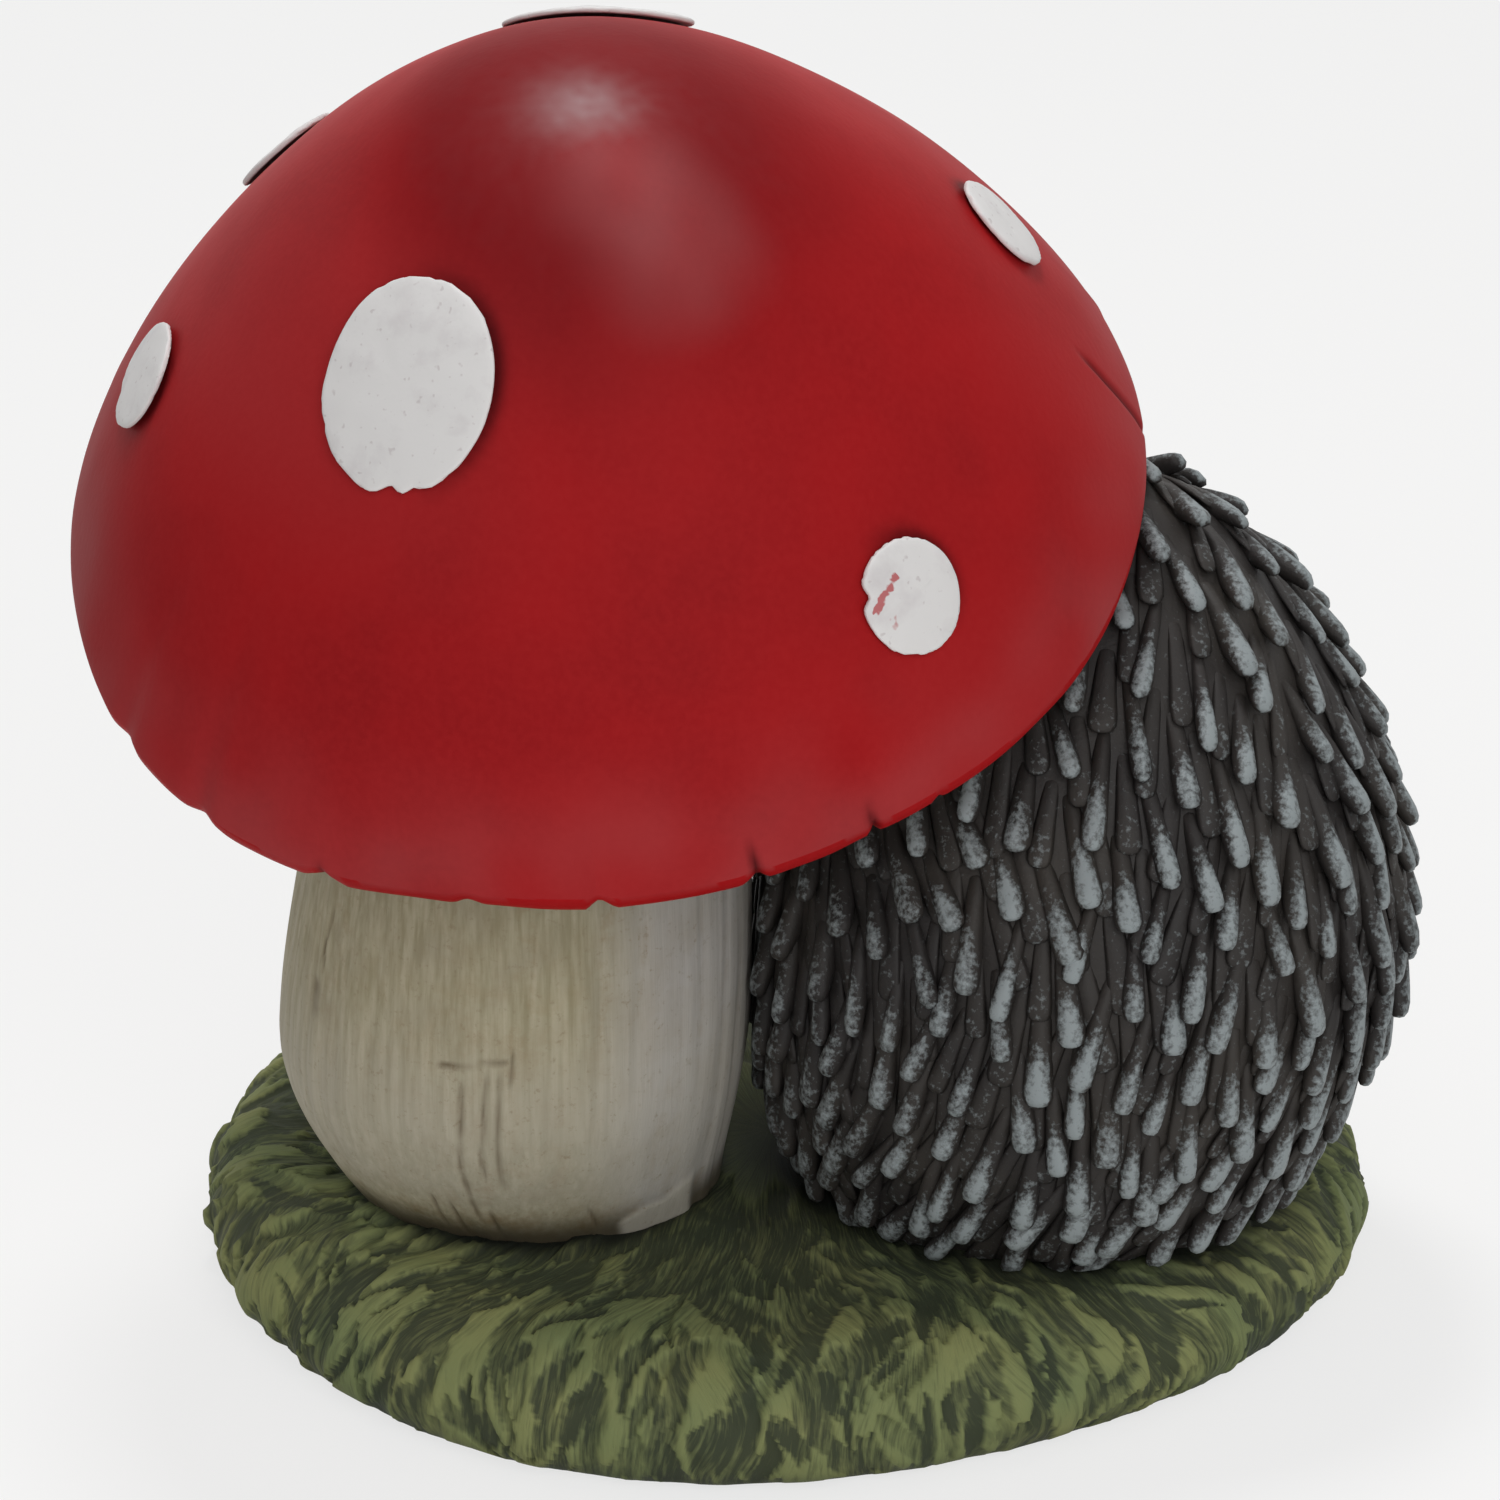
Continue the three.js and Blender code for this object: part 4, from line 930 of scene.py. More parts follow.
def carve_cap():
    shares = np.sin(np.linspace(0, math.pi / 2, CAP_ROWS))
    crown = list(zip(CAP_RADIUS * shares, crown_height(shares)))
    swing = np.linspace(0, math.pi, LIP_ROWS)[1:]
    lip = list(zip(CAP_RADIUS - CAP_LIP + CAP_LIP * np.cos(swing), -CAP_LIP * np.sin(swing)))
    cap = spin_profile("carved_cap", crown + lip + [(0, CAP_RECESS)], CAP_COLUMNS)
    points = points_of(cap)
    turn = np.arctan2(points[:, 1], points[:, 0])
    reach = np.hypot(points[:, 0], points[:, 1])
    z = points[:, 2]
    outer = ramp(reach, CAP_RADIUS - 2 * CAP_LIP, CAP_RADIUS - CAP_LIP)
    crack = np.zeros(len(points))
    for centre, low, high in CAP_CRACKS:
        wander = centre + 0.7 * wavering(z, 4, centre)
        length = ramp(z, low - 1, low + 1) * (1 - ramp(z, high - 5, high))
        crack = np.maximum(crack, outer * length * stripe(turn, wander, CAP_CRACK_WIDTH, CAP_RADIUS))
    wheel = np.column_stack([np.cos(turn), np.sin(turn), 0 * z]) * CAP_RADIUS
    lift = RIM_WAVE * lumps(wheel, RIM_WAVE_SIZE, 9)
    for centre, half_width, depth in RIM_SPLITS:
        apart = np.abs(turn_apart(turn, centre)) * CAP_RADIUS
        lift += depth * np.clip(1.15 - apart / half_width, 0, 1)
    edge = np.exp(-np.maximum(z + CAP_LIP, 0) / 4) * outer
    points[:, 2] += lift * edge
    points[:, :2] *= (1 - CAP_CRACK_DEPTH * crack / np.maximum(reach, 1))[:, None]
    move_points(cap, to_figure(dent_cap(points)))
    mark_cap(cap, points, turn, reach, crack)
    hand_over(cap, "mushroom_cap", RED)


carve_cap()

# %% [markdown]
# ## Gills
# Under the cap the casting has thin gills that run from the rim to the stem. A shallow cone is spun with
# many steps, and the spokes of its underside are pulled down by turns, which folds it into ribs.

# %% Fold the gills
GILLS, COLUMNS_PER_GILL, GILL_ROWS = 72, 6, 14
GILL_INSET, GILL_DROP, GILL_NECK_OVERLAP = 1.2, 3.4, 2
hollow_radius = CAP_RADIUS - 2 * CAP_LIP


def gill_roof(radius):
    """Height of the upper side of the gills, which is glued into the hollow of the cap."""
    return CAP_RECESS * (1 - radius / hollow_radius) - GLUE_GAP


def fold_gills():
    outer = hollow_radius - GLUE_GAP
    reach = np.linspace(STEM_NECK_RADIUS - GILL_NECK_OVERLAP, outer, GILL_ROWS)
    under = list(zip(reach, gill_roof(reach) - GILL_INSET))
    over = list(zip(reach[::-1], gill_roof(reach[::-1])))
    gills = spin_profile("folded_gills", under + over + under[:1], COLUMNS_PER_GILL * GILLS)
    points = points_of(gills)
    turn = np.arctan2(points[:, 1], points[:, 0])
    radius = np.hypot(points[:, 0], points[:, 1])
    below = points[:, 2] < gill_roof(radius) - GILL_INSET / 2
    fold = np.abs((turn / (2 * math.pi) * GILLS) % 1 - 0.5) * 2
    uneven = 0.8 + 0.3 * lumps(np.column_stack([np.cos(turn), np.sin(turn), 0 * turn]) * 40, 3, 10)
    run_out = ramp(radius, outer + 1, outer - 9)
    points[:, 2] -= np.where(below, GILL_DROP * fold * uneven * run_out, 0)
    move_points(gills, to_figure(points))
    mark(gills, "stain", np.where(below, 0.9 * (1 - fold), 0))
    hand_over(gills, "cap_gills", CREAM)


fold_gills()

# %% [markdown]
# ## White spots
# Each spot is a thin pad on the cap with a broken outline. It starts as a ball: its waist is pulled out to
# the outline, its upper and lower halves are flattened, and every point is then laid on the nearest place of
# the crown. The outline has a few slow waves and some small chips.

# %% Lay the spots
SPOT_COLUMNS, SPOT_ROWS = 96, 22
UPPER_BEVEL, LOWER_BEVEL = 0.55, 0.3
OUTLINE_WAVE, OUTLINE_CHIP, SPOT_LUMP = 0.04, 0.02, 0.12
# Painted shade reaches highest up the rim on the side at this turn, in degrees.
SHADED_RIM_SIDE = 40
# Each chip has its spot, a turn in degrees, a width in degrees and a share of the spot's size.
SPOT_CHIPS = [("spot_front_large", 283, 7, 0.09), ("spot_front_large", 300, 5, 0.06),
              ("spot_front_right", 152, 9, 0.16), ("spot_left", 250, 9, 0.1)]
SCRATCHED_SPOT = "spot_front_right"
crown_shares = np.sin(np.linspace(0.001, 0.999, 500) * math.pi / 2)
crown_line = np.column_stack([CAP_RADIUS * crown_shares, crown_height(crown_shares)])
crown_slope = np.gradient(crown_line, axis=0)
crown_out = np.column_stack([-crown_slope[:, 1], crown_slope[:, 0]])
crown_out /= np.linalg.norm(crown_out, axis=1)[:, None]


def on_crown(points, raised):
    """Lay points on the nearest place of the crown and raise them off it."""
    flat = np.column_stack([np.hypot(points[:, 0], points[:, 1]), points[:, 2]])
    nearest = np.argmin(((flat[:, None] - crown_line[None]) ** 2).sum(2), axis=1)
    laid = crown_line[nearest] + crown_out[nearest] * np.reshape(raised, (-1, 1))
    turn = np.arctan2(points[:, 1], points[:, 0])
    return np.column_stack([laid[:, 0] * np.cos(turn), laid[:, 0] * np.sin(turn), laid[:, 1]])


def scratches(side, rise):
    """1 where a spot is scratched, for shares of its size across and up: a slanting line and a patch."""
    line = np.exp(-((rise - 0.3 - 0.5 * (side + 0.5)) / 0.08) ** 2) * (np.abs(side + 0.45) < 0.38)
    patch = np.exp(-((side + 0.58) / 0.22) ** 2 - ((rise + 0.15) / 0.4) ** 2)
    return np.clip(line + 0.46 * patch, 0, 1)


def lay_spot(number, node, turn_degrees, out, size, across, upward):
    spot = add_ball(node.replace("spot", "painted_spot"), SPOT_COLUMNS, SPOT_ROWS)
    ball = points_of(spot)
    angle = np.arctan2(ball[:, 1], ball[:, 0])
    bevel = np.where(ball[:, 2] > 0, UPPER_BEVEL, LOWER_BEVEL)
    waist = np.sqrt(np.maximum(1 - ball[:, 2] ** 2, 0)) ** bevel
    rim = np.stack([np.cos(angle), np.sin(angle), 0 * angle + number], 1)
    outline = 1 + OUTLINE_WAVE * lumps(rim, 0.9, 11) - OUTLINE_CHIP * ramp(lumps(rim, 0.3, 12), 0.25, 0.5)
    for chip_node, chip_turn, chip_width, chip_depth in SPOT_CHIPS:
        apart = np.degrees(turn_apart(angle, chip_turn))
        outline -= (node == chip_node) * chip_depth * np.exp(-(apart / chip_width) ** 2)
    seat, east, north, _ = spot_axes(turn_degrees, out)
    reach = size * waist * outline
    side, rise = reach * np.cos(angle), reach * np.sin(angle)
    flat = seat + np.outer(side * across, east) + np.outer(rise * upward, north)
    domed = np.sign(ball[:, 2]) * np.abs(ball[:, 2]) ** 0.5
    raised = GLUE_GAP + SPOT_THICKNESS / 2 * (1 + domed) + SPOT_LUMP * lumps(flat, 3, 13) * (ball[:, 2] > 0.2)
    move_points(spot, to_figure(dent_cap(on_crown(flat, raised))))
    # Dark at the foot of the rim, and painted shade higher up the rim on the side turned away from the light.
    turned_away = np.clip(np.cos(angle - SHADED_RIM_SIDE * DEGREE), 0, 1)
    mark(spot, "rim", 1 - ramp(domed, -1, 0.7 * turned_away - 0.7))
    if node == SCRATCHED_SPOT:
        mark(spot, "scratch", scratches(side / size, rise / size))
    hand_over(spot, node, WHITE)


for number, spot in enumerate(SPOTS):
    lay_spot(number, *spot)

# %% [markdown]
# ## Spine coat
# The coat is what the figure is about: some hundreds of drop-shaped spines that spiral out from the forehead
# and lie back over one another like tiles. One spine is modelled as a small ball drawn out along its
# length, then copied. Each copy is laid along the body, so that it bends with it, and keeps a mark of where
# the dry brush touches its free end. A fringe of shorter ones goes round the face.

# %% The body under the coat
rump_slope = BODY_RUMP / BODY_HEIGHT
sway_slope = BODY_SWAY / BODY_WIDEST


def rump_shift(z):
    """The rump sits back, and below its widest part towards the stem."""
    aside = sway_slope * np.minimum(0, z - BODY_WIDEST)
    return np.column_stack([aside, rump_slope * (z - BODY_HEIGHT), 0 * z])


def on_body(directions):
    """Points, outward normals and shares of the egg-shaped body where directions from its middle leave it."""
    above = directions[:, 2] > 0
    level_half = np.tile([BODY_WIDTH / 2, BODY_LENGTH / 2], (len(directions), 1))
    half = np.column_stack([level_half, np.where(above, BODY_HEIGHT - BODY_WIDEST, BODY_UNDERSIDE)])
    power = np.where(above, BODY_CROWN, 2)
    unit = directions / half
    level = np.hypot(unit[:, 0], unit[:, 1])
    size = (level ** power + np.abs(unit[:, 2]) ** power) ** (1 / power)
    points = directions / size[:, None] + [0, 0, BODY_WIDEST]
    points += rump_shift(points[:, 2])
    share = unit / size[:, None]
    flank = np.maximum(level / size, 1e-6) ** (power - 2)
    rise = np.sign(share[:, 2]) * np.abs(share[:, 2]) ** (power - 1)
    normals = np.column_stack([flank * share[:, 0], flank * share[:, 1], rise]) / half
    normals[:, 2] -= rump_slope * normals[:, 1] + np.where(above, 0, sway_slope * normals[:, 0])
    return points, normals / np.linalg.norm(normals, axis=1)[:, None], share


def towards_body(points):
    """Lay free points on the body, along the line to its middle."""
    return on_body(points - rump_shift(points[:, 2]) - [0, 0, BODY_WIDEST])


# %% One spine
SPINE_LENGTH, SPINE_WIDTH, SPINE_CREST, SPINE_TAIL = 9.6, 3.1, 2.8, 4
SPINE_SINK = 0.9
SPINE_COLUMNS = 8
# At each stop along the spine there is a share of its width, of its crest and of its depth in the body.
SPINE_STOPS = [0, 0.14, 0.36, 0.56, 0.72, 0.84, 0.92, 0.97, 0.99, 1]
SPINE_WIDTHS = [0.4, 0.6, 0.72, 0.82, 0.93, 1, 0.96, 0.76, 0.45, 0]
SPINE_CRESTS = [-0.4, 0.1, 0.42, 0.68, 0.9, 1.06, 1.1, 1.02, 0.88, 0.7]
SPINE_SOLES = [-1, -1, -1, -1, -0.6, 0.4, 1.1, 1.5, 1.8, 2]


def model_spine():
    """A rounded drop lying along +Y on the plane z = 0, with its root at the origin."""
    rows = len(SPINE_STOPS) - 1
    spine = add_ball("spine", SPINE_COLUMNS, rows)
    ball = points_of(spine)
    stop = np.rint((1 - np.arccos(np.clip(ball[:, 2], -1, 1)) / math.pi) * rows).astype(int)
    around = np.arctan2(ball[:, 1], ball[:, 0])
    pole = np.abs(ball[:, 2]) > 0.999
    crest = np.take(SPINE_CRESTS, stop) * SPINE_CREST
    sole = np.take(SPINE_SOLES, stop) * SPINE_SINK
    upward = np.where(pole, 0, np.sin(around))
    sideways = np.where(pole, 0, np.cos(around)) * np.take(SPINE_WIDTHS, stop) * SPINE_WIDTH / 2
    height = (crest + sole) / 2 + (crest - sole) / 2 * upward
    along = np.take(SPINE_STOPS, stop)
    reach = along * (SPINE_LENGTH + SPINE_TAIL) - SPINE_TAIL
    move_points(spine, np.column_stack([-sideways, reach, height]))
    narrow = 3.6 - 2.2 * ramp(along, 0.4, 0.85)
    touched = ramp(along, 0.34, 0.74) * np.clip(upward, 0, 1) ** narrow
    mark(spine, "brush", np.where(pole, ramp(along, 0.9, 1) * 0.4, touched))
    return spine


# %% Where the spines stand
SPINE_COUNT = 480
SPINE_SWEEP, SPINE_SIDE_SWEEP, SPINE_TOP_SWEEP = 0.2, 0.95, 0.6
HAIRLINE, FOREHEAD_HAIRLINE = 0.93, 0.97
BROW = np.array([0, 34, 66])
FOREHEAD = Vector((0, 0.5, 0.87)).normalized()
GOLDEN_TURN = math.pi * (3 - math.sqrt(5))
rng = np.random.default_rng(20)


def from_forehead(tilt, turn):
    """Directions from the middle of the body, at a tilt away from the forehead and a turn about it."""
    girth = np.sin(tilt)
    to_forehead = np.array(Vector((0, 0, 1)).rotation_difference(FOREHEAD).to_matrix())
    return np.column_stack([girth * np.cos(turn), girth * np.sin(turn), np.cos(tilt)]) @ to_forehead.T


def spine_roots(number, count):
    """Directions to spines of a spiral of this count, which gives each the same room round the forehead."""
    bands, turns = 120, 24
    tilts = np.repeat((np.arange(bands) + 0.5) * math.pi / bands, turns)
    directions = from_forehead(tilts, np.tile(np.arange(turns) * 2 * math.pi / turns, bands))
    points, normals, _ = on_body(directions)
    reach = np.linalg.norm(points - rump_shift(points[:, 2]) - [0, 0, BODY_WIDEST], axis=1)
    area = reach ** 2 * np.sin(tilts) / (normals * directions).sum(1)
    covered = np.concatenate([[0], np.cumsum(area.reshape(bands, turns).sum(1))])
    wanted = covered[-1] * (number + 0.5) / count
    tilt = np.interp(wanted, covered, np.arange(bands + 1) * math.pi / bands)
    return from_forehead(tilt, GOLDEN_TURN * number)


def spine_flow(points, normals, share):
    """The way each spine lies: away from the forehead, swept towards the stem low on the rump."""
    crown = np.array([0, 0.36 * BODY_LENGTH, 1.12 * BODY_HEIGHT])
    to_brow = ramp(points[:, 1], 0.05 * BODY_LENGTH, 0.35 * BODY_LENGTH)
    flow = points - crown - (BROW - crown) * to_brow[:, None]
    flow /= np.linalg.norm(flow, axis=1)[:, None]
    low = np.maximum(0, 1 - 1.6 * points[:, 2] / BODY_HEIGHT)
    high = np.clip(5 * points[:, 2] / BODY_HEIGHT - 2, 0, 1)
    left = np.clip(-2.5 * points[:, 0] / BODY_WIDTH, 0, 1)
    sweep = SPINE_TOP_SWEEP * high * left - (SPINE_SWEEP + SPINE_SIDE_SWEEP * left) * low
    flow[:, 0] += sweep * np.maximum(0, -share[:, 1])
    flow -= normals * (flow * normals).sum(1)[:, None]
    return flow / np.linalg.norm(flow, axis=1)[:, None]


# %% Sizes of the soft parts in front
SIDES = (("left", -1), ("right", 1))
SNOUT_REACH, HEAD_RADIUS, HEAD_HEIGHT = 24, 18.5, 49
HEAD_OVAL_Y, HEAD_OVAL_DEPTH = 32, 17
EAR_RADIUS, EAR_THICKNESS = 5.2, 2.8
BELLY_SWELL, BELLY_WIDTH, BELLY_HEIGHT = 6, 52, 46
FOOT_WIDTH, FOOT_LENGTH, FOOT_HEIGHT = 14.5, 23, 9
face_y = on_body(np.array([[0, BODY_LENGTH / 2, HEAD_HEIGHT - BODY_WIDEST]]))[0][0, 1]
belly_half = np.array([BELLY_WIDTH / 2, BODY_LENGTH / 4 + BELLY_SWELL, BELLY_HEIGHT * 0.55])
belly_middle = np.array([0, BODY_LENGTH / 4, BELLY_HEIGHT - belly_half[2]])
ear_half = np.array([EAR_RADIUS, EAR_THICKNESS, EAR_RADIUS])
foot_half = np.array([FOOT_WIDTH / 2, FOOT_LENGTH / 2, FOOT_HEIGHT * 0.7])


def on_face(side, out, look_up, ahead):
    """A place on one side of the head: a share of its radius, an angle up and a share of the snout."""
    reach, climb = HEAD_RADIUS * out, look_up * DEGREE
    height = HEAD_HEIGHT + reach * math.sin(climb)
    return np.array([side * reach * math.cos(climb), face_y + SNOUT_REACH * ahead, height])


def ear_seat(side):
    return on_face(side, out=1.02, look_up=50, ahead=0.06)


def foot_seat(side):
    return np.array([side * FOOT_WIDTH * 0.85, BODY_LENGTH * 0.46, FOOT_HEIGHT * 0.3])


print("face", face_y.round(1), "mm in front of the middle of the body")

# %% Keep the spines clear of their neighbours
BELLY_BORDER, HEAD_BORDER = 1.3, 1.6
SPINE_CLEARANCE, STEM_CLEARANCE, SOFT_CLEARANCE = 0.5, 0.4, 0.8
GILL_ROOM = 5.4
SOFT_PARTS = [
    (belly_middle, belly_half),
    ((0, HEAD_OVAL_Y, HEAD_HEIGHT), (HEAD_RADIUS, HEAD_OVAL_DEPTH, HEAD_RADIUS)),
]
for _, side in SIDES:
    SOFT_PARTS.append((ear_seat(side).round(1), ear_half))
    SOFT_PARTS.append((foot_seat(side).round(1), foot_half))


def within(points, centre, half):
    """How far points lie from the middle of an oval part, where 1 is its skin."""
    return np.linalg.norm((points - centre) / half, axis=1)


def round_face(points):
    """True in a narrow border round the belly and the head."""
    belly, head = SOFT_PARTS[:2]
    return (within(points, *belly) < BELLY_BORDER) | (within(points, *head) < HEAD_BORDER)


def clear_of_neighbours(points):
    """True where points of the coat keep clear of the stem, the cap and the soft parts in front."""
    figure = points + body_place
    stem = figure - stem_place
    foot = np.maximum(0, 1 - stem[:, 2] / STEM_BULGE_HEIGHT) ** 2
    width = stem_radius(np.clip(stem[:, 2], 0, stem_length)) + STEM_FOOT_WIDENING * foot
    aside = stem[:, 0] - lean * stem[:, 2] - STEM_FOOT_SHIFT * foot
    clear = np.hypot(aside, stem[:, 1]) > width + STEM_CLEARANCE
    in_cap = (figure - cap_place) @ cap_turn
    reach = np.hypot(in_cap[:, 0], in_cap[:, 1])
    lip = CAP_LIP * np.sqrt(np.clip(1 - ((reach - CAP_RADIUS + CAP_LIP) / CAP_LIP) ** 2, 0, 1))
    roof = CAP_RECESS * (1 - reach / hollow_radius) - GILL_ROOM
    underside = np.where(reach < hollow_radius, roof, -lip)
    clear &= (in_cap[:, 2] < underside - SPINE_CLEARANCE) | (reach > CAP_RADIUS + SPINE_CLEARANCE)
    for centre, half in SOFT_PARTS:
        clear &= within(points, centre, np.array(half) + SOFT_CLEARANCE) > 1
    return clear


# %% Lay the coat
SPINE_TWIST, LOWEST_ROOT = 0.3, 4
PRESSINGS = (1, 0.7, 0.4)
UNDER_SPINE_STAND, UNDER_SPINE_DAB = 0.4, 0.25
FRINGE_COUNT, FRINGE_LENGTH, FRINGE_STAND, FRINGE_DAB = 1250, 0.55, 0.9, 0.85
COAT_COLUMNS, COAT_ROWS = 160, 110


def lay_spines(pattern, directions, at_face, stretch, stand, dabbed):
    """Copies of a spine round the face or behind it, with shares of its length, height and paint."""
    shape = points_of(pattern)
    brush = np.empty(len(shape))
    pattern.data.attributes["brush"].data.foreach_get("value", brush)
    roots, normals, share = on_body(directions)
    flow = spine_flow(roots, normals, share)
    twist = np.cross(normals, flow) * np.tan(rng.uniform(-SPINE_TWIST, SPINE_TWIST, len(roots)))[:, None]
    flow = (flow + twist) / np.linalg.norm(flow + twist, axis=1)[:, None]
    bare = share[:, 1] > HAIRLINE + (FOREHEAD_HAIRLINE - HAIRLINE) * np.maximum(0, share[:, 2])
    spines = []
    for i in np.flatnonzero(~bare & (roots[:, 2] > LOWEST_ROOT) & (round_face(roots) == at_face)):
        length, width, height = rng.uniform(0.8, 1.15, 3) * [stretch, 1, 1]
        # Less grey on spines towards the stem: painted shade under the cap.
        dab_and_shade = dabbed * rng.uniform(0.7, 1.1) * (1 - 0.4 * ramp(-roots[i, 0], 8, 30))
        seats, outs, _ = towards_body(roots[i] + np.outer(shape[:, 1] * length, flow[i]))
        sides = np.cross(flow[i], outs)
        sides /= np.linalg.norm(sides, axis=1)[:, None]
        flat = seats + sides * (shape[:, 0] * width)[:, None]
        for pressed in PRESSINGS:
            points = flat + outs * (shape[:, 2] * height * stand * pressed)[:, None]
            points[:, 2] = np.maximum(points[:, 2], GLUE_GAP)
            if clear_of_neighbours(points[shape[:, 2] > 0]).all():
                spine = pattern.copy()
                spine.data = pattern.data.copy()
                bpy.context.scene.collection.objects.link(spine)
                move_points(spine, points + body_place)
                mark(spine, "brush", brush * dab_and_shade)
                spines.append(spine)
                break
    return spines


def lay_coat():
    pattern = model_spine()
    number = np.arange(SPINE_COUNT)
    spines = lay_spines(pattern, spine_roots(number, SPINE_COUNT), False, 1, 1, 1)
    under = spine_roots(number + 0.5, SPINE_COUNT)
    under_spines = lay_spines(pattern, under, False, 1, UNDER_SPINE_STAND, UNDER_SPINE_DAB)
    face = spine_roots(np.arange(FRINGE_COUNT), FRINGE_COUNT)
    fringe = lay_spines(pattern, face, True, FRINGE_LENGTH, FRINGE_STAND, FRINGE_DAB)
    bpy.data.objects.remove(pattern)
    coat = add_ball("spine_coat", COAT_COLUMNS, COAT_ROWS)
    skin = on_body(points_of(coat))[0]
    skin[:, 2] = np.maximum(skin[:, 2], 0)
    move_points(coat, skin + body_place)
    mark(coat, "brush", 0)
    select_only(coat, *spines, *under_spines, *fringe)
    bpy.ops.object.join()
    print("spines laid:", len(spines), "between them", len(under_spines), "round the face", len(fringe))
    hand_over(coat, "hedgehog_spine_coat", SPINES)


lay_coat()

# %% [markdown]
# ## Face
# The head is a ball drawn out to a snout, with the same rings as the construction model, and carved with
# short fur that runs back from the nose. The nose has two nostrils; the eyes are round beads; the ears are
# small cups.

# %% Carve the head
HEAD_COLUMNS, HEAD_ROWS = 224, 140
SNOUT_RADIUS, SNOUT_LIFT, SNOUT_DIP = 4.4, 1.5, 3
# At each stop, in shares of the snout's reach, there is a share of the head's radius.
HEAD_STOPS = [-0.7, 0, 0.2, 0.4, 0.6, 0.8, 0.94, 1.0]
HEAD_RADII = [0.95, 1, 0.93, 0.74, 0.49, 0.31, SNOUT_RADIUS / HEAD_RADIUS, 0.12]
EASING = 8
FUR_WIDTH, FUR_LENGTH, FUR_HEIGHT = 1.1, 6, 0.4
MOUTH_TURN, MOUTH_DEPTH, MOUTH_WIDTH = 42, 0.5, 0.5
MASK, EYE_RING = 0.75, 4.6
snout_tip = np.array([0, face_y + SNOUT_REACH, HEAD_HEIGHT + SNOUT_LIFT])


def eye_seat(side):
    return on_face(side, out=0.72, look_up=34, ahead=0.4)


def head_radius(along):
    """Radius of the head at a share of the snout's reach, with the corners of its rings eased."""
    fine = np.linspace(HEAD_STOPS[0], 1, 200)
    padded = np.pad(np.interp(fine, HEAD_STOPS, HEAD_RADII), EASING, "edge")
    window = 2 * EASING + 1
    return HEAD_RADIUS * np.interp(along, fine, np.convolve(padded, np.ones(window) / window, "valid"))


def carve_head():
    head = add_ball("carved_head", HEAD_COLUMNS, HEAD_ROWS)
    ball = points_of(head)
    swing = np.arccos(np.clip(ball[:, 2], -1, 1)) / math.pi
    along = np.interp(swing, [0, 0.3, 1], [1.0, 0.55, HEAD_STOPS[0]])
    around = np.arctan2(ball[:, 1], ball[:, 0])
    radius = head_radius(along) * np.where(np.abs(ball[:, 2]) > 0.9999, 0, 1)
    ahead = np.maximum(along, 0)
    middle = HEAD_HEIGHT + SNOUT_LIFT * ahead - SNOUT_DIP * ahead * (1 - ahead)
    wheel = np.column_stack([np.cos(around), np.sin(around)]) * 0.7 * HEAD_RADIUS
    from_nose = SNOUT_REACH * (1 - along) + radius
    fur = lumps(np.column_stack([wheel, from_nose * FUR_WIDTH / FUR_LENGTH]), FUR_WIDTH, 14)
    below = np.abs(np.degrees(turn_apart(around, -90)))
    mouth = np.exp(-((below - MOUTH_TURN) * DEGREE * radius / MOUTH_WIDTH) ** 2)
    mouth *= ramp(along, 0.42, 0.5) * (1 - ramp(along, 0.84, 0.9))
    radius = radius + FUR_HEIGHT * fur * ramp(radius, 3, 9) - MOUTH_DEPTH * mouth
    points = np.column_stack([
        radius * np.cos(around), face_y + SNOUT_REACH * along, middle + radius * np.sin(around)])
    move_points(head, points + body_place)
    mark(head, "tuft", 0.5 + 0.6 * fur)
    muzzle = MASK * ramp(along, 0.6, 0.9)
    rings = 0
    for _, side in SIDES:
        rings = rings + np.exp(-(np.linalg.norm(points - eye_seat(side), axis=1) / EYE_RING) ** 2)
    mark(head, "mask", np.max([muzzle, MASK * rings, 0.8 * mouth], axis=0))
    close_mesh(head)
    hand_over(head, "hedgehog_head", TAN_FUR)


carve_head()

# %% Nose and eyes
NOSE_RADIUS, EYE_RADIUS = 3.8, 2.6
NOSTRIL_DEPTH, NOSTRIL_WIDTH = 0.8, 0.9


def shape_nose():
    nose = add_ball("enamel_nose", 40, 28)
    points = points_of(nose) * NOSE_RADIUS * [1.05, 0.85, 0.92]
    for _, side in SIDES:
        nostril = np.array([side * 0.5, 0.62, -0.3]) * NOSE_RADIUS
        gap = np.linalg.norm(points - nostril, axis=1)
        points -= np.outer(NOSTRIL_DEPTH * np.exp(-(gap / NOSTRIL_WIDTH) ** 2), [0, 1, 0])
    move_points(nose, points + snout_tip + body_place)
    hand_over(nose, "hedgehog_nose", ENAMEL)


def shape_eye(which, side):
    eye = add_ball(f"enamel_eye_{which}", 32, 22)
    points = points_of(eye) * EYE_RADIUS * [0.96, 1, 1.04]
    move_points(eye, points + eye_seat(side) + body_place)
    hand_over(eye, f"hedgehog_eye_{which}", ENAMEL)


shape_nose()
for which, side in SIDES:
    shape_eye(which, side)

# %% Ears
CUP_DEPTH, CUP_WIDTH = 1.7, 0.62


def shape_ear(which, side):
    ear = add_ball(f"cupped_ear_{which}", 48, 30)
    ball = points_of(ear)
    out = np.hypot(ball[:, 0], ball[:, 2])
    cup = np.where(ball[:, 1] > 0, CUP_DEPTH * np.exp(-(out / CUP_WIDTH) ** 2), 0)
    fur = lumps(ball * EAR_RADIUS, [1.2, 3, 4], 15)
    points = ball * ear_half * (1 + 0.05 * fur)[:, None]
    points[:, 1] -= cup * EAR_THICKNESS
    move_points(ear, points + ear_seat(side) + body_place)
    mark(ear, "tuft", 0.45 + 0.5 * fur - 0.5 * cup)
    hand_over(ear, f"hedgehog_ear_{which}", TAN_FUR)


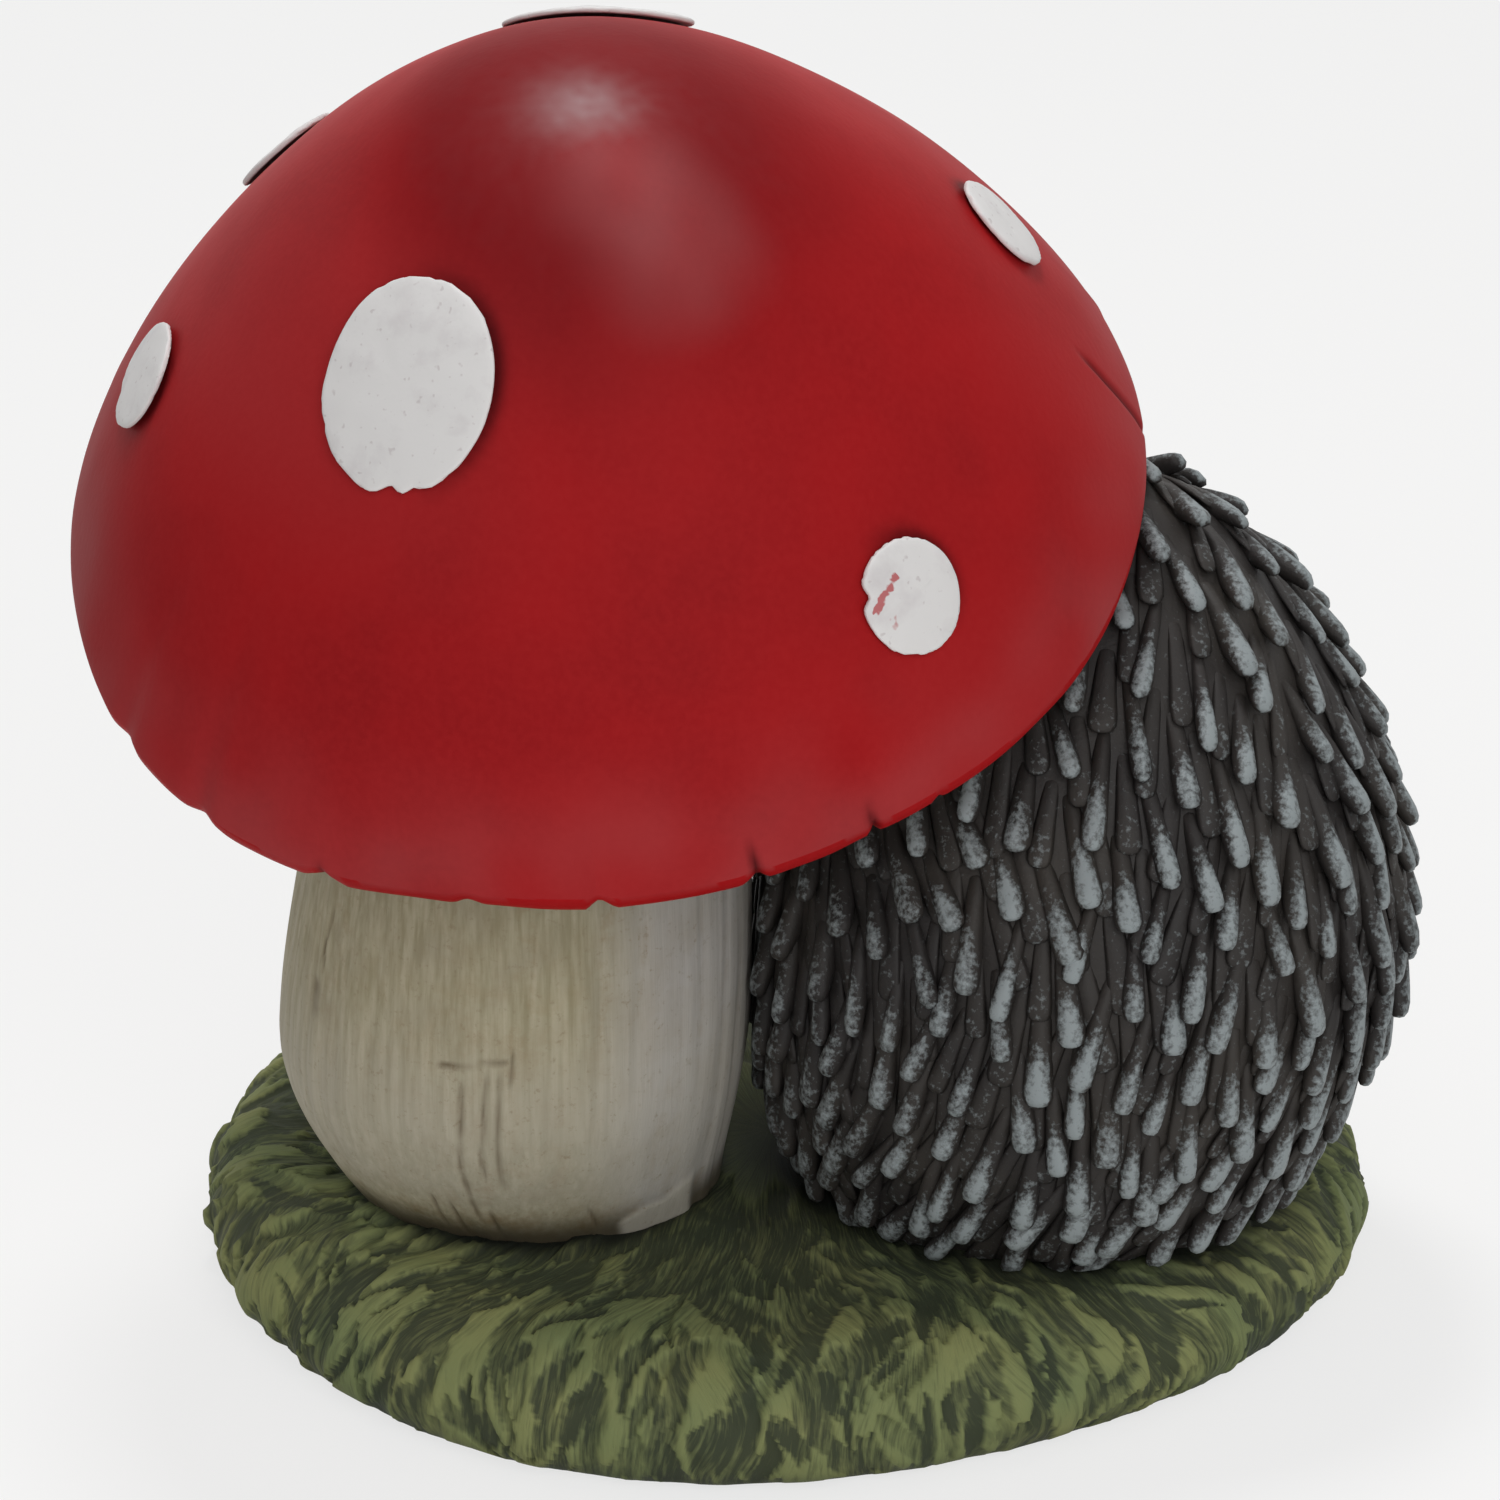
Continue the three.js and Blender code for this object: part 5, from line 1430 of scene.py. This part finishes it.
for which, side in SIDES:
    shape_ear(which, side)

# %% [markdown]
# ## Belly, paws and feet
# The belly swells out between the feet and the chin, with fur that hangs down. Paws and feet are stout
# and end in small claws, which are little drops like the spines.

# %% Belly
BELLY_COLUMNS, BELLY_ROWS = 220, 130


def carve_belly():
    belly = add_ball("carved_belly", BELLY_COLUMNS, BELLY_ROWS)
    ball = points_of(belly)
    points = ball * belly_half
    fur = lumps(points, [FUR_WIDTH * 1.2, FUR_WIDTH * 1.2, FUR_LENGTH * 1.3], 16)
    points += ball * (FUR_HEIGHT * fur)[:, None]
    points += belly_middle
    points[:, 2] = np.maximum(points[:, 2], 0)
    move_points(belly, points + body_place)
    mark(belly, "tuft", 0.5 + 0.6 * fur)
    hand_over(belly, "hedgehog_belly", PALE_FUR)


carve_belly()

# %% Fur, toes and claws of a limb
CLAW_LENGTH, CLAW_WIDTH = 3.4, 1.3
CLAW_SPREADS = (-1, 0, 1)
LIMB_FUR, TOE_GROOVE = 0.3, 0.9


def claw(place, direction):
    """A small drop that points along a direction."""
    nail = add_ball("claw", 10, 8)
    ball = points_of(nail)
    taper = 0.5 + 0.5 * np.clip(-ball[:, 2], -1, 1)
    points = ball * [CLAW_WIDTH / 2, CLAW_WIDTH / 2, CLAW_LENGTH / 2]
    points[:, :2] *= (taper + 0.3)[:, None]
    turn = np.array(Vector((0, 0, 1)).rotation_difference(Vector(direction)).to_matrix())
    move_points(nail, points @ turn.T + place)
    mark(nail, "tuft", -0.2)
    return nail


def finish_limb(limb, node, fur, between_toes, nails):
    """Mark the fur and toes of a paw or foot, join its claws to it and hand it over."""
    mark(limb, "tuft", 0.5 + 0.5 * fur - 0.5 * between_toes)
    claws = [claw(place, direction) for place, direction in nails]
    select_only(limb, *claws)
    bpy.ops.object.join()
    hand_over(limb, node, TAN_FUR)


# %% Paws and feet
PAW_RADIUS, PAW_LENGTH, PAW_HEIGHT, PAW_SPLAY, PAW_SLOPE = 5.2, 19, 24.5, 24, 46


def shape_paw(which, side):
    paw = add_ball(f"carved_paw_{which}", 80, 60)
    ball = points_of(paw)
    points = ball * PAW_RADIUS
    points[:, 2] += np.sign(ball[:, 2]) * ramp(np.abs(ball[:, 2]), 0, 0.3) * (PAW_LENGTH / 2 - PAW_RADIUS)
    points[:, :2] *= (0.82 + 0.32 * ramp(-points[:, 2], -2, 6))[:, None]
    points[:, 1] += 1.4 * ramp(-points[:, 2], 0, 8)
    fur = lumps(points, [1.1, 1.1, 5], 17)
    between_toes = np.exp(-((np.abs(points[:, 0]) - PAW_RADIUS / 3) / 0.55) ** 2) * ramp(-points[:, 2], 2, 6)
    points += ball * (LIMB_FUR * fur - TOE_GROOVE * between_toes)[:, None]
    splay = Matrix.Rotation(-side * PAW_SPLAY * DEGREE, 3, "Z")
    turn = np.array(splay @ Matrix.Rotation(side * PAW_SLOPE * DEGREE, 3, "Y"))
    seat = np.array([side * BELLY_WIDTH * 0.27, BODY_LENGTH / 2 + BELLY_SWELL * 0.5, PAW_HEIGHT])
    move_points(paw, points @ turn.T + seat + body_place)
    nails = []
    for spread in CLAW_SPREADS:
        tip = turn @ np.array([spread * 2.6, 1.6, -PAW_LENGTH / 2 + 0.4 + 0.5 * abs(spread)])
        nails.append((tip + seat + body_place, turn @ np.array([spread * 0.3, 0.3, -1])))
    finish_limb(paw, f"hedgehog_paw_{which}", fur, between_toes, nails)


def shape_foot(which, side):
    foot = add_ball(f"carved_foot_{which}", 90, 60)
    ball = points_of(foot)
    points = ball * foot_half
    groove = np.exp(-((np.abs(points[:, 0]) - FOOT_WIDTH / 6.5) / 0.6) ** 2)
    between_toes = groove * ramp(ball[:, 1], 0.3, 0.8)
    fur = lumps(points, [1.1, 5, 3], 18)
    points += ball * (LIMB_FUR * fur - TOE_GROOVE * between_toes)[:, None]
    seat = foot_seat(side)
    points += seat
    points[:, 2] = np.maximum(points[:, 2], 0)
    move_points(foot, points + body_place)
    nails = []
    for spread in CLAW_SPREADS:
        tip = seat + [spread * FOOT_WIDTH / 3.4, FOOT_LENGTH / 2 - 0.6 - 1.8 * abs(spread), -0.6]
        nails.append((tip + body_place, (spread * 0.15, 1, -0.15)))
    finish_limb(foot, f"hedgehog_foot_{which}", fur, between_toes, nails)


for which, side in SIDES:
    shape_paw(which, side)
    shape_foot(which, side)
